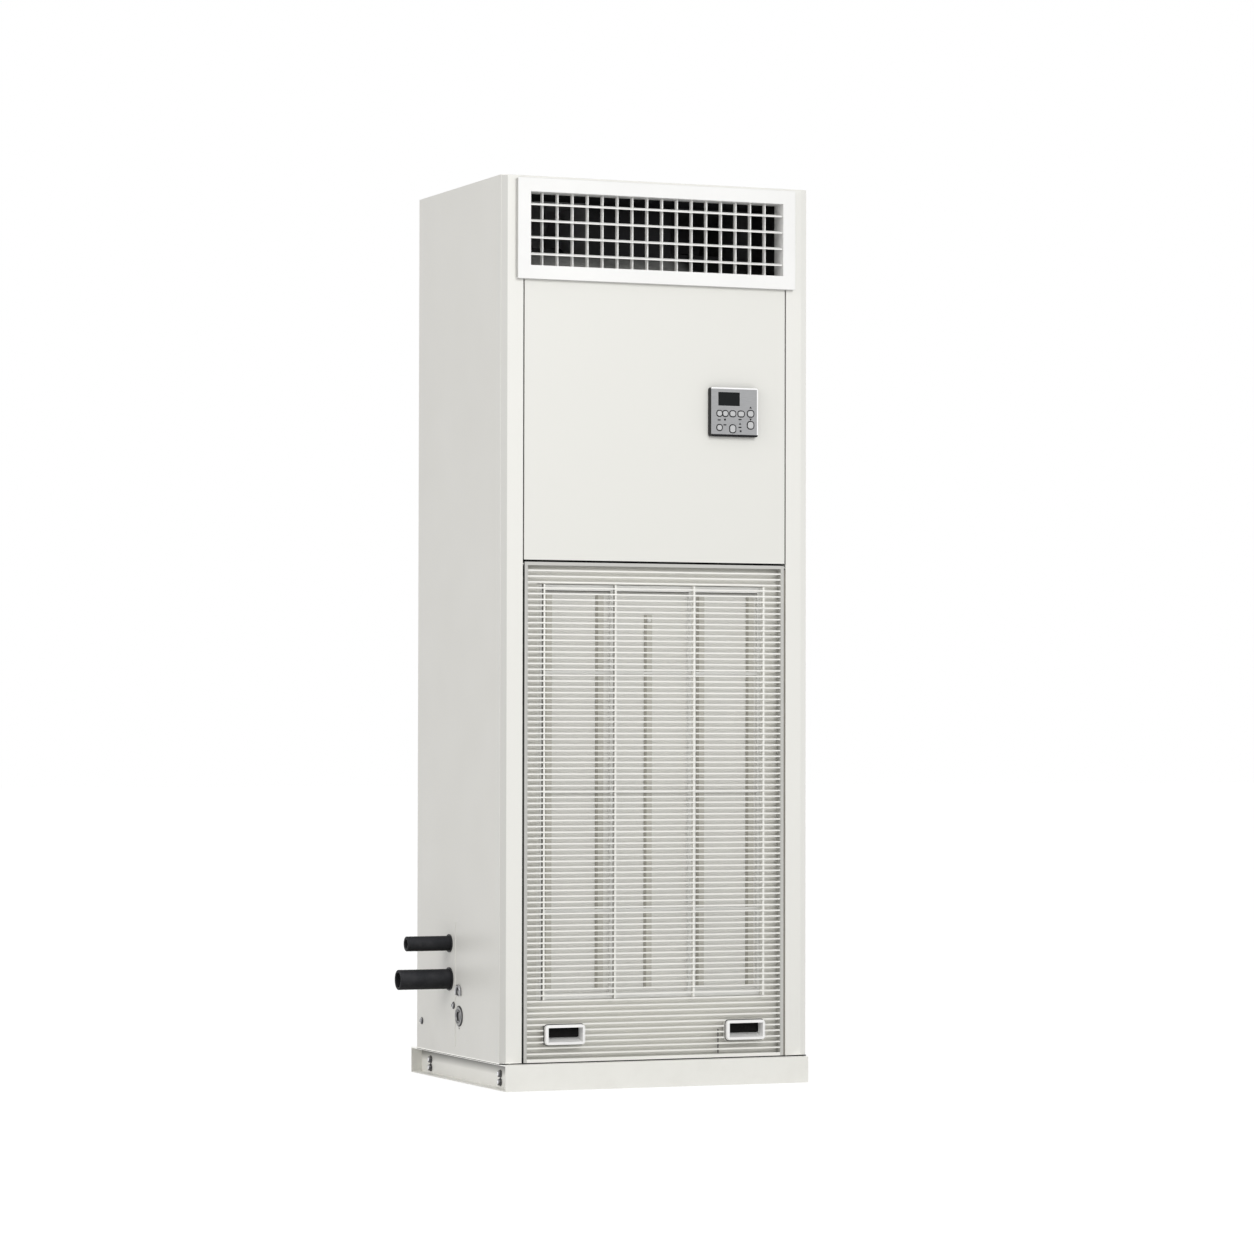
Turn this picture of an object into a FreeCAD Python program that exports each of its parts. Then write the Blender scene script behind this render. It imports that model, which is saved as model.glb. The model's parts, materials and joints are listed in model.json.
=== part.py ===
import FreeCAD, Part
import math
import os

V = FreeCAD.Vector

# Driving dimensions in millimetres. X runs along the front, -Y is the front, +Z is up.
# The origin is the middle of the base's underside.

# Cabinet and base
CABINET_WIDTH = 700.0
CABINET_DEPTH = 500.0
CABINET_HEIGHT = 1850.0
BASE_HEIGHT = 55.0
BASE_SIDE_INSET = 5.0
BASE_FRONT_STEP = 22.0
BASE_REAR_STEP = 50.0
BASE_RECESS = 24.0
BASE_FLANGE = 60.0
RAIL_SHEET = 2.3
ANCHOR_FROM_END = 66.0
ANCHOR_HOLE_RADIUS = 6.0
BOLT_FROM_FRONT = 91.0
BOLT_FROM_REAR = 59.0
BOLT_HEIGHTS = (13.5, 31.0)
BOLT_RADIUS = 4.0
BOLT_HEAD_RADIUS = 8.0
BOLT_HEAD_HEIGHT = 7.0

# Folded sheet of the shell
SHEET = 1.5
CORNER_ALONG_FRONT = 14.0
CORNER_ALONG_SIDE = 4.0
COLUMN_WIDTH = 49.0
COLUMN_RETURN = 22.0
LEDGE_WIDTH = 8.5
REAR_RETURN = 18.0
PANEL_GAP = 3.0
FIT_GAP = 0.3
FLOOR_LIP = 20.0
SCREW_TAB = 20.0

# Outlet with its two sets of vanes
OUTLET_SIDE_MARGIN = 61.0
OUTLET_TOP_DROP = 5.0
FLANGE_BORDER = 29.0
FLANGE_PROUD = 12.0
FLANGE_WALL = 2.5
FLANGE_CORNER_RADIUS = 4.0
FLANGE_EDGE_RADIUS = 2.0
FLANGE_LAP = 4.0
COLLAR_DEPTH = 46.0
COLLAR_WALL = 2.0
COLLAR_GAP = 0.5
VANE_COLUMNS = 17
OUTLET_HEIGHT = 154.0
VANE_ROWS = 5
ROW_PITCH = 34.7
VANE_DEPTH = 14.0
VANE_NOSE = 2.6
VANE_TAIL = 1.4
VANE_END_GAP = 0.8
VANE_RECESS = 3.5
VANE_LAYER_GAP = 0.8
VANE_TILT = 21.0
VANE_PIN_RADIUS = 1.5
RUNNING_CLEARANCE = 0.05

# Intake grille and its finger pulls
ABOVE_INTAKE = 803.0
GRILLE_THICKNESS = 14.0
GRILLE_BORDER = 7.0
GRILLE_FOOT_GAP = 2.0
GRILLE_SIDE_GAP = 4.5
GRILLE_TOP_GAP = 3.0
BAR_COUNT = 84
BAR_HEIGHT = 3.0
BAR_DEPTH = 8.0
BAR_RECESS = 1.0
GRILLE_RIB = 4.0
GRILLE_RIB_RECESS = 3.0
GRILLE_RIB_INSIDE_FILTER = 7.0
HINGE_FROM_TOP = 4.0
HINGE_FROM_FRONT = 5.0
HINGE_PIN_RADIUS = 2.0
PULL_FROM_PANEL_EDGE = 92.0
PULL_CENTRE_HEIGHT = 59.0
PULL_WIDTH = 89.0
PULL_HEIGHT = 42.0
PULL_PROUD = 10.0
PULL_RIM = 6.0
PULL_POCKET_DEPTH = 30.0
PULL_WALL = 2.0
PULL_CORNER_RADIUS = 7.0
PULL_FLOOR_RISE = 6.0

# Air filter and the bulkhead that carries it
BULKHEAD_BEHIND_FRONT = 37.0
BULKHEAD_ABOVE_INTAKE = 348.0
FILTER_SIDE_MARGIN = 40.0
FILTER_BOTTOM = 131.0
FILTER_TOP_MARGIN = 49.0
FILTER_FRAME_DEPTH = 8.0
FILTER_BORDER = 12.0
FILTER_RIB = 6.0
FILTER_MEDIA_DEPTH = 2.5
FILTER_LIFT = 25.0
FILTER_GUIDE_LAP = 6.0
GUIDE_SHEET = 1.0

# Cooling coil, drain and pipes
COIL_INSIDE_FILTER = 6.0
COIL_DEPTH = 60.0
COIL_BEHIND_BULKHEAD = 12.0
COIL_BELOW_INTAKE = 147.0
COIL_ABOVE_PAN = 17.0
FIN_COUNT = 43
FIN_SHEET = 0.6
END_PLATE = 2.0
TUBE_RUNS = 16
TUBE_MARGIN = 30.0
TUBE_RADIUS = 4.76
TUBE_HOLE_CLEARANCE = 0.14
TUBE_BEND = 20.0
TUBE_OVERHANG = 12.0
LINE_SIDE_GAP = 8.0
RISER_GAP = 12.0
PAN_FLOOR_HEIGHT = 57.0
PAN_WALL_HEIGHT = 38.0
PAN_SHEET = 1.2
PAN_SIDE_GAP = 28.5
PAN_FRONT_GAP = 4.0
PAN_BEHIND_DRAIN = 60.0
DRAIN_AHEAD_OF_PIPE = 57.0
DRAIN_HEIGHT = 86.0
DRAIN_FLANGE_RADIUS = 20.5
DRAIN_FLANGE = 3.0
DRAIN_BODY_RADIUS = 13.0
DRAIN_BORE_RADIUS = 10.0
PIPE_DEPTH_SHARE = 0.592
LIQUID_HEIGHT = 238.0
GAS_HEIGHT = 162.0
LIQUID_RADIUS = 16.0
LIQUID_REACH = 100.0
LIQUID_SOCKET_RADIUS = 7.94
GAS_RADIUS = 21.5
GAS_REACH = 118.0
GAS_SOCKET_RADIUS = 14.3
SOCKET_DEPTH = 20.0
SOCKET_WALL = 1.1
SOCKET_STEP = 4.0
SOCKET_RECESS = 22.0
SLEEVE_CLEARANCE = 0.1
GROMMET_RIM = 3.2
GROMMET_PROUD = 2.5
GROMMET_WALL = 1.6
CABLE_HEIGHT = 138.0
CABLE_AHEAD_OF_PIPE = 56.0
CABLE_BORE_RADIUS = 6.0
CABLE_RIM_RADIUS = 9.5
PLATE_AHEAD_OF_PIPE = 34.0
PLATE_FROM_REAR = 69.0
PLATE_BOTTOM = 20.0
PLATE_TOP = 285.0
PLATE_SHEET = 1.0

# Fan section
FAN_DEPTH_SHARE = 0.59
SCROLL_DEPTH_SHARE = 0.29
SCROLL_STEP_SHARE = 0.024
SCROLL_SHEET = 1.2
SCROLL_SIDE_GAP = 4.0
SCROLL_RAIL_GAP = 2.0
WHEEL_DEPTH_SHARE = 0.248
WHEEL_SIDE_GAP = 20.0
INLET_INSIDE_WHEEL = 26.0
WHEEL_BLADE_CHORD = 22.0
WHEEL_BLADES = 28
WHEEL_SHEET = 2.0
BLADE_SHEET = 1.2
BLADE_ANGLE = 25.0
HUB_RADIUS = 20.0
HUB_LENGTH = 40.0
SHAFT_RADIUS = 8.0
MOTOR_DEPTH_SHARE = 0.13
MOTOR_SIDE_GAP = 20.0
CRADLE_INSET = 20.0
RAIL_DEPTH_SHARE = 0.24
RAIL_WIDTH = 40.0
RAIL_HEIGHT = 25.0
FOOT_LENGTH = 190.0
FOOT_HEIGHT = 60.0

# Electrical box
BOX_SIDE_MARGIN = 158.0
BOX_ABOVE_INTAKE = 83.0
BOX_HEIGHT = 220.0
BOX_DEPTH = 90.0
BOX_FLANGE = 12.0

# Wired controller on the front panel
CONTROLLER_FROM_PANEL_EDGE = 123.5
CONTROLLER_BELOW_TOP = 482.0
CONTROLLER_WIDTH = 110.0
CONTROLLER_TALL = 104.0
CONTROLLER_PROUD = 15.0
CONTROLLER_WALL = 2.0
CONTROLLER_CORNER = 5.0
CONTROLLER_EDGE = 1.5
SCREEN_WIDTH = 50.0
SCREEN_TALL = 29.0
SCREEN_FROM_LEFT = 42.0
SCREEN_FROM_TOP = 24.5
SCREEN_RECESS = 0.6
SCREEN_THICKNESS = 1.6
SCREEN_CORNER = 1.0
BUTTON_PROUD = 1.4
BUTTON_CORNER_SHARE = 0.4
BUTTON_TRAVEL = 0.8
BUTTON_CLEARANCE = 0.25
BUTTON_LIP = 0.8
BUTTON_LIP_THICKNESS = 1.0
BOARD_THICKNESS = 1.6
BOARD_GAP = 0.4
# name: (from the left edge, from the bottom edge, width, height)
BUTTONS = {
    "mode_button": (20.0, 48.5, 10.5, 10.5),
    "fan_speed_button": (33.5, 48.5, 10.5, 10.5),
    "swing_button": (50.5, 48.5, 12.0, 10.5),
    "power_button": (70.0, 48.5, 13.0, 10.5),
    "timer_button": (20.0, 18.5, 10.5, 10.5),
    "set_button": (50.5, 16.5, 12.0, 15.0),
    "raise_button": (92.0, 49.5, 13.0, 12.0),
    "lower_button": (92.0, 25.0, 13.0, 14.0),
}

# Screws
SCREW_RADIUS = 1.9
SCREW_LENGTH = 6.0
SCREW_HEAD_RADIUS = 6.5
SCREW_HEAD = 4.5
SCREW_HOLE_CLEARANCE = 0.1
REAR_SCREW_ROWS = 5
SIDE_SCREW_FROM_REAR = 31.0
SIDE_SCREW_HEIGHT = 62.0
PLATE_SCREW_INSET = 8.0
PLATE_SCREW_HEIGHT = 107.0

# Positions worked out from the dimensions
BASE_DEPTH = BASE_FRONT_STEP + CABINET_DEPTH + BASE_REAR_STEP
FRONT = -BASE_DEPTH / 2 + BASE_FRONT_STEP
REAR = FRONT + CABINET_DEPTH
FLOOR = BASE_HEIGHT
TOP = FLOOR + CABINET_HEIGHT
SIDE = CABINET_WIDTH / 2
INNER_SIDE = SIDE - SHEET
BAY = SIDE - COLUMN_WIDTH
PANEL_HALF = BAY - PANEL_GAP
LEDGE = FRONT + COLUMN_RETURN
BEHIND_LEDGE = LEDGE + SHEET
INTAKE_HEIGHT = CABINET_HEIGHT - ABOVE_INTAKE
SPLIT = FLOOR + INTAKE_HEIGHT
OUTLET_HALF = SIDE - OUTLET_SIDE_MARGIN
COLUMN_PITCH = 2 * OUTLET_HALF / VANE_COLUMNS
FLANGE_TOP = TOP - OUTLET_TOP_DROP
OUTLET_TOP = FLANGE_TOP - FLANGE_BORDER
OUTLET_BOTTOM = OUTLET_TOP - OUTLET_HEIGHT
FLANGE_BOTTOM = OUTLET_BOTTOM - FLANGE_BORDER
FLANGE_HALF = OUTLET_HALF + FLANGE_BORDER
FLANGE_FRONT = FRONT - FLANGE_PROUD
COLLAR_REAR = FLANGE_FRONT + COLLAR_DEPTH
PANEL_TOP = FLANGE_BOTTOM + FLANGE_LAP
ROW_VANE_Y = FLANGE_FRONT + VANE_RECESS + VANE_DEPTH / 2
COLUMN_VANE_Y = ROW_VANE_Y + VANE_DEPTH + VANE_LAYER_GAP
GRILLE_BOTTOM = FLOOR + GRILLE_FOOT_GAP
GRILLE_TOP = SPLIT - GRILLE_TOP_GAP
GRILLE_HALF = BAY - GRILLE_SIDE_GAP
GRILLE_REAR = FRONT + GRILLE_THICKNESS
HINGE_Y = FRONT + HINGE_FROM_FRONT
HINGE_Z = GRILLE_TOP - HINGE_FROM_TOP
PULL_CENTRE_X = PANEL_HALF - PULL_FROM_PANEL_EDGE
PULL_Z = FLOOR + PULL_CENTRE_HEIGHT
BULKHEAD = FRONT + BULKHEAD_BEHIND_FRONT
BULKHEAD_HALF = INNER_SIDE - SHEET - FIT_GAP
BULKHEAD_TOP = SPLIT + BULKHEAD_ABOVE_INTAKE
FILTER_HALF_WIDTH = PANEL_HALF - FILTER_SIDE_MARGIN
FILTER_TOP = INTAKE_HEIGHT - FILTER_TOP_MARGIN
FILTER_RIB_X = (FILTER_HALF_WIDTH + FILTER_BORDER) / 3
FILTER_RIB_STEP = FILTER_TOP / 4
COIL_HALF_WIDTH = FILTER_HALF_WIDTH - COIL_INSIDE_FILTER
COIL_HEIGHT = INTAKE_HEIGHT - COIL_BELOW_INTAKE
COIL_FRONT = BULKHEAD + SHEET + COIL_BEHIND_BULKHEAD
COIL_Y = COIL_FRONT + COIL_DEPTH / 2
PAN_FLOOR = FLOOR + PAN_FLOOR_HEIGHT
COIL_BOTTOM = PAN_FLOOR + COIL_ABOVE_PAN
COIL_TOP = COIL_BOTTOM + COIL_HEIGHT
TUBE_PITCH = (COIL_HEIGHT - 2 * TUBE_MARGIN) / (TUBE_RUNS - 1)
TUBE_BOTTOM = COIL_BOTTOM + TUBE_MARGIN
TUBE_TOP = TUBE_BOTTOM + (TUBE_RUNS - 1) * TUBE_PITCH
TUBE_END = COIL_HALF_WIDTH + END_PLATE + TUBE_OVERHANG
PAN_HALF_WIDTH = INNER_SIDE - PAN_SIDE_GAP
PIPE_Y = FRONT + CABINET_DEPTH * PIPE_DEPTH_SHARE
DRAIN = V(-SIDE, PIPE_Y - DRAIN_AHEAD_OF_PIPE, FLOOR + DRAIN_HEIGHT)
CABLE = V(-SIDE, PIPE_Y - CABLE_AHEAD_OF_PIPE, FLOOR + CABLE_HEIGHT)
LIQUID = V(-SIDE, PIPE_Y, FLOOR + LIQUID_HEIGHT)
GAS = V(-SIDE, PIPE_Y, FLOOR + GAS_HEIGHT)
PLATE_Y = (PIPE_Y - PLATE_AHEAD_OF_PIPE, REAR - PLATE_FROM_REAR)
FAN_Y = FRONT + CABINET_DEPTH * FAN_DEPTH_SHARE
SCROLL_RADIUS = CABINET_DEPTH * SCROLL_DEPTH_SHARE
SCROLL_STEP = CABINET_DEPTH * SCROLL_STEP_SHARE
SCROLL_WIDTH = (OUTLET_HALF - SCROLL_SIDE_GAP) / 1.5
FAN_SPACING = 2 * SCROLL_WIDTH
WHEEL_RADIUS = CABINET_DEPTH * WHEEL_DEPTH_SHARE
WHEEL_WIDTH = SCROLL_WIDTH - 2 * WHEEL_SIDE_GAP
SCROLL_INLET_RADIUS = WHEEL_RADIUS - INLET_INSIDE_WHEEL
MOTOR_RADIUS = CABINET_DEPTH * MOTOR_DEPTH_SHARE
MOTOR_LENGTH = FAN_SPACING - SCROLL_WIDTH - 2 * MOTOR_SIDE_GAP
RAIL_SPACING = CABINET_DEPTH * RAIL_DEPTH_SHARE
SCROLL_TOP = SCROLL_RADIUS + 5 * SCROLL_STEP
FAN_Z = OUTLET_TOP - SCROLL_TOP
SCROLL_OUTLET_Y = FAN_Y - SCROLL_RADIUS
RAIL_TOP = FAN_Z - SCROLL_RADIUS - SCROLL_STEP - SCROLL_SHEET - SCROLL_RAIL_GAP
BOX_Z = SPLIT + BOX_ABOVE_INTAKE
BOX_HALF_WIDTH = PANEL_HALF - BOX_SIDE_MARGIN
CONTROLLER_CENTRE_X = PANEL_HALF - CONTROLLER_FROM_PANEL_EDGE
CONTROLLER_Z = TOP - CONTROLLER_BELOW_TOP
CONTROLLER_FACE = FRONT - CONTROLLER_PROUD
CONTROLLER_LEFT = CONTROLLER_CENTRE_X - CONTROLLER_WIDTH / 2
CONTROLLER_BOTTOM = CONTROLLER_Z - CONTROLLER_TALL / 2
BASE_HALF = SIDE - BASE_SIDE_INSET
WEB = BASE_HALF - BASE_RECESS
ANCHOR_X = BASE_HALF - BASE_RECESS / 2
ANCHOR_Y = BASE_DEPTH / 2 - ANCHOR_FROM_END


def block(x, y, z):
    """A box between a low and a high value along each axis."""
    return Part.makeBox(x[1] - x[0], y[1] - y[0], z[1] - z[0], V(x[0], y[0], z[0]))


def rod(radius, start, end):
    """A round rod from one point to another."""
    axis = end.sub(start)
    return Part.makeCylinder(radius, axis.Length, start, axis)


def ring(outer, inner, start, end):
    """A round tube from one point to another."""
    return rod(outer, start, end).cut(rod(inner, start, end))


def prism(points, along):
    """A flat outline pushed along a vector."""
    return Part.Face(Part.makePolygon(points + points[:1])).extrude(along)


def rounded_block(x, y, z, corner):
    """A box whose four edges along Y are rounded."""
    shape = block(x, y, z)
    edges = [edge for edge in shape.Edges if abs(edge.tangentAt(edge.FirstParameter).y) > 0.9]
    return shape.makeFillet(corner, edges)


def front_edges(shape):
    """The edges that lie in the shape's frontmost plane."""
    front = shape.BoundBox.YMin
    return [edge for edge in shape.Edges if edge.BoundBox.YMax < front + 0.001]


def mirrored(shape):
    """The same shape on the other side of the middle."""
    return shape.mirror(V(0, 0, 0), V(1, 0, 0))


def fused(shapes):
    """Several touching solids joined into one."""
    return shapes[0].multiFuse(shapes[1:]).removeSplitter()


def folded(points, sheet, low, high):
    """A sheet folded along a path in plan, with its thickness on the path's left, from low to high."""
    normals = []
    for (x0, y0), (x1, y1) in zip(points, points[1:]):
        length = math.hypot(x1 - x0, y1 - y0)
        normals.append((-(y1 - y0) / length, (x1 - x0) / length))
    inner = []
    for index, (x, y) in enumerate(points):
        before = normals[max(index - 1, 0)]
        after = normals[min(index, len(normals) - 1)]
        share = sheet / (1 + before[0] * after[0] + before[1] * after[1])
        inner.append((x + (before[0] + after[0]) * share, y + (before[1] + after[1]) * share))
    outline = [V(x, y, low) for x, y in points + inner[::-1]]
    return prism(outline, V(0, 0, high - low))


def tube_path(points, bend):
    """A wire through the points with its corners rounded."""
    edges = []
    start = points[0]
    for before, corner, after in zip(points, points[1:], points[2:]):
        inward = before.sub(corner).normalize()
        outward = after.sub(corner).normalize()
        first = corner.add(inward * bend)
        last = corner.add(outward * bend)
        centre = corner.add((inward + outward) * bend)
        middle = centre.add(corner.sub(centre).normalize() * bend)
        edges.append(Part.makeLine(start, first))
        edges.append(Part.Arc(first, middle, last).toShape())
        start = last
    edges.append(Part.makeLine(start, points[-1]))
    return Part.Wire(edges)


def swept(path, radius):
    """A round rod along a wire."""
    start = path.OrderedVertexes[0].Point
    heading = path.OrderedEdges[0].tangentAt(path.OrderedEdges[0].FirstParameter)
    if path.OrderedEdges[0].valueAt(path.OrderedEdges[0].FirstParameter).distanceToPoint(start) > 0.001:
        heading = heading * -1
    profile = Part.Wire(Part.makeCircle(radius, start, heading))
    return path.makePipeShell([profile], True, False)


# Screws: a domed head on the outside and a short shank through the sheets
def screw(point, outward):
    shank = rod(SCREW_RADIUS, point.sub(outward * SCREW_LENGTH), point)
    head = rod(SCREW_HEAD_RADIUS, point, point.add(outward * SCREW_HEAD))
    top = [edge for edge in head.Edges if edge.CenterOfMass.sub(point).dot(outward) > SCREW_HEAD - 0.01]
    head = head.makeFillet(SCREW_HEAD / 2, top)
    return fused([head, shank])


def screw_hole(point, outward):
    radius = SCREW_RADIUS + SCREW_HOLE_CLEARANCE
    return rod(radius, point.sub(outward * SCREW_LENGTH), point.add(outward * SCREW_LENGTH))


def rear_screw_points():
    first = FLOOR + REAR_RETURN
    step = (CABINET_HEIGHT - 2 * REAR_RETURN) / (REAR_SCREW_ROWS - 1)
    x = SIDE - REAR_RETURN / 2
    rows = [first + row * step for row in range(REAR_SCREW_ROWS)]
    return [V(side * x, REAR, z) for side in (-1, 1) for z in rows]


def side_screw_points():
    y = REAR - SIDE_SCREW_FROM_REAR
    return [V(side * SIDE, y, FLOOR + SIDE_SCREW_HEIGHT) for side in (-1, 1)]


def plate_screw_points():
    """One screw at the plate's front edge: the grommets that pass through it hold the rest."""
    return [V(-SIDE - PLATE_SHEET, PLATE_Y[0] + PLATE_SCREW_INSET, FLOOR + PLATE_SCREW_HEIGHT)]


def outward_x(point):
    return V(math.copysign(1, point.x), 0, 0)


def panel_screws():
    screws = [screw(point, V(0, 1, 0)) for point in rear_screw_points()]
    screws += [screw(point, outward_x(point)) for point in side_screw_points() + plate_screw_points()]
    return screws


# Shell: two folded side panels with front columns, rear, top, floor and upper front panels
def side_panel_blank():
    path = [
        (-SIDE + REAR_RETURN, REAR - SHEET),
        (-SIDE, REAR - SHEET),
        (-SIDE, FRONT + CORNER_ALONG_SIDE),
        (-SIDE + CORNER_ALONG_FRONT, FRONT),
        (-BAY, FRONT),
        (-BAY, LEDGE),
        (-BAY + LEDGE_WIDTH, LEDGE),
    ]
    blank = folded(path, SHEET, FLOOR, TOP - SHEET)
    for point in rear_screw_points() + side_screw_points():
        if point.x < 0:
            outward = V(0, 1, 0) if point.y > REAR - SHEET else V(-1, 0, 0)
            blank = blank.cut(screw_hole(point, outward))
    hinge = V(-BAY - 2 * SHEET, HINGE_Y, HINGE_Z)
    return blank.cut(rod(HINGE_PIN_RADIUS + RUNNING_CLEARANCE, hinge, hinge.add(V(3 * SHEET, 0, 0))))


def grommet_hole_radius(radius):
    return radius + SLEEVE_CLEARANCE + GROMMET_WALL


def left_side_panel():
    panel = side_panel_blank()
    through = V(4 * SHEET, 0, 0)
    holes = [
        (LIQUID, grommet_hole_radius(LIQUID_RADIUS)),
        (GAS, grommet_hole_radius(GAS_RADIUS)),
        (CABLE, grommet_hole_radius(CABLE_BORE_RADIUS)),
        (DRAIN, DRAIN_BODY_RADIUS + FIT_GAP),
    ]
    for point, radius in holes:
        panel = panel.cut(rod(radius, point.sub(through), point.add(through)))
    for point in plate_screw_points():
        panel = panel.cut(screw_hole(point, V(-1, 0, 0)))
    return panel


def right_side_panel():
    return mirrored(side_panel_blank())


def rear_panel():
    panel = block((-SIDE, SIDE), (REAR - SHEET, REAR), (FLOOR, TOP - SHEET))
    for point in rear_screw_points():
        panel = panel.cut(screw_hole(point, V(0, 1, 0)))
    return panel


def top_panel():
    outline = [
        V(-SIDE, REAR, TOP - SHEET),
        V(-SIDE, FRONT + CORNER_ALONG_SIDE, TOP - SHEET),
        V(-SIDE + CORNER_ALONG_FRONT, FRONT, TOP - SHEET),
        V(SIDE - CORNER_ALONG_FRONT, FRONT, TOP - SHEET),
        V(SIDE, FRONT + CORNER_ALONG_SIDE, TOP - SHEET),
        V(SIDE, REAR, TOP - SHEET),
    ]
    lid = prism(outline, V(0, 0, SHEET))
    apron_half = BAY - COLLAR_GAP
    apron_bottom = PANEL_TOP + COLLAR_GAP
    apron = block((-apron_half, apron_half), (FRONT, FRONT + SHEET), (apron_bottom, TOP - SHEET))
    hole_half = OUTLET_HALF + COLLAR_WALL + COLLAR_GAP
    hole_low = OUTLET_BOTTOM - COLLAR_WALL - COLLAR_GAP
    hole_high = OUTLET_TOP + COLLAR_WALL + COLLAR_GAP
    hole = block((-hole_half, hole_half), (FRONT - SHEET, FRONT + 2 * SHEET), (hole_low, hole_high))
    return fused([lid, apron]).cut(hole)


def floor_panel():
    rear = REAR - 2 * SHEET - FIT_GAP
    plate = block((-INNER_SIDE, INNER_SIDE), (BEHIND_LEDGE + FIT_GAP, rear), (FLOOR, FLOOR + FLOOR_LIP))
    inner = INNER_SIDE - SHEET
    pocket = block((-inner, inner), (BEHIND_LEDGE, REAR), (FLOOR + SHEET, TOP))
    floor = plate.cut(pocket)
    for point in side_screw_points():
        floor = floor.cut(block((-SIDE, SIDE), (point.y - SCREW_TAB, REAR), (FLOOR + SHEET, TOP)))
    return floor


def upper_front_panel():
    low = SPLIT + PANEL_GAP / 2
    tray = block((-PANEL_HALF, PANEL_HALF), (FRONT, LEDGE), (low, PANEL_TOP))
    inner = PANEL_HALF - SHEET
    tray = tray.cut(block((-inner, inner), (FRONT + SHEET, REAR), (low + SHEET, PANEL_TOP - SHEET)))
    centre = V(CONTROLLER_CENTRE_X, FRONT - SHEET, CONTROLLER_Z)
    return tray.cut(rod(CABLE_BORE_RADIUS, centre, centre.add(V(0, 4 * SHEET, 0))))


# Base: channels open outwards at the sides, closed by a front and a rear channel, bolted at the corners
def bolt_points():
    ys = (-BASE_DEPTH / 2 + BOLT_FROM_FRONT, BASE_DEPTH / 2 - BOLT_FROM_REAR)
    return [V(side * WEB, y, z) for side in (-1, 1) for y in ys for z in BOLT_HEIGHTS]


def bolt_holes():
    reach = V(4 * RAIL_SHEET, 0, 0)
    return [rod(BOLT_RADIUS + FIT_GAP, point.sub(reach), point.add(reach)) for point in bolt_points()]


def base_side_rails():
    half = BASE_DEPTH / 2 - RAIL_SHEET
    channel = block((-BASE_HALF, -WEB + RAIL_SHEET), (-half, half), (0, BASE_HEIGHT))
    groove = block((-BASE_HALF, -WEB), (-half, half), (RAIL_SHEET, BASE_HEIGHT - RAIL_SHEET))
    channel = channel.cut(groove)
    for hole in bolt_holes():
        channel = channel.cut(hole)
    for y in (-ANCHOR_Y, ANCHOR_Y):
        foot = V(-ANCHOR_X, y, 0)
        channel = channel.cut(rod(ANCHOR_HOLE_RADIUS, foot, foot.add(V(0, 0, RAIL_SHEET))))
    return [channel, mirrored(channel)]


def cross_rail(outer, inward, tab):
    """A channel across the base whose end tabs lie against the side rails."""
    inner_half = WEB - RAIL_SHEET
    web_rear = outer + inward * RAIL_SHEET
    web = block((-BASE_HALF, BASE_HALF), sorted((outer, web_rear)), (0, BASE_HEIGHT))
    deep = sorted((web_rear, web_rear + inward * tab))
    body = block((-inner_half, inner_half), deep, (0, BASE_HEIGHT))
    plate = inner_half - RAIL_SHEET
    body = body.cut(block((-plate, plate), deep, (RAIL_SHEET, BASE_HEIGHT - RAIL_SHEET)))
    beyond = sorted((web_rear + inward * BASE_FLANGE, web_rear + inward * 2 * tab))
    body = body.cut(block((-plate, plate), beyond, (0, BASE_HEIGHT)))
    rail = fused([web, body])
    for hole in bolt_holes():
        rail = rail.cut(hole)
    return rail


def base_cross_rails():
    half = BASE_DEPTH / 2
    front = cross_rail(-half, 1, BOLT_FROM_FRONT + BOLT_HEAD_RADIUS * 2)
    rear = cross_rail(half, -1, max(BOLT_FROM_REAR + BOLT_HEAD_RADIUS * 2, BASE_FLANGE))
    return [front, rear]


def base_bolts():
    bolts = []
    for point in bolt_points():
        out = outward_x(point)
        inner_face = point.sub(out * (2 * RAIL_SHEET))
        corners = [
            V(0, math.cos(math.radians(60 * step)), math.sin(math.radians(60 * step))) * BOLT_HEAD_RADIUS
            for step in range(6)
        ]
        head = prism([point.add(corner) for corner in corners], out * BOLT_HEAD_HEIGHT)
        nut = prism([inner_face.add(corner) for corner in corners], out * -BOLT_HEAD_HEIGHT)
        bolts.append(fused([head, rod(BOLT_RADIUS, inner_face, point), nut]))
    return bolts


# Outlet: a moulded flange with a collar, four row vanes in front of sixteen column vanes
def row_heights():
    middle = (OUTLET_TOP + OUTLET_BOTTOM) / 2
    count = VANE_ROWS - 1
    return [middle + (index - (count - 1) / 2) * ROW_PITCH for index in range(count)]


def column_places():
    count = VANE_COLUMNS - 1
    return [(index - (count - 1) / 2) * COLUMN_PITCH for index in range(count)]


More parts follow.
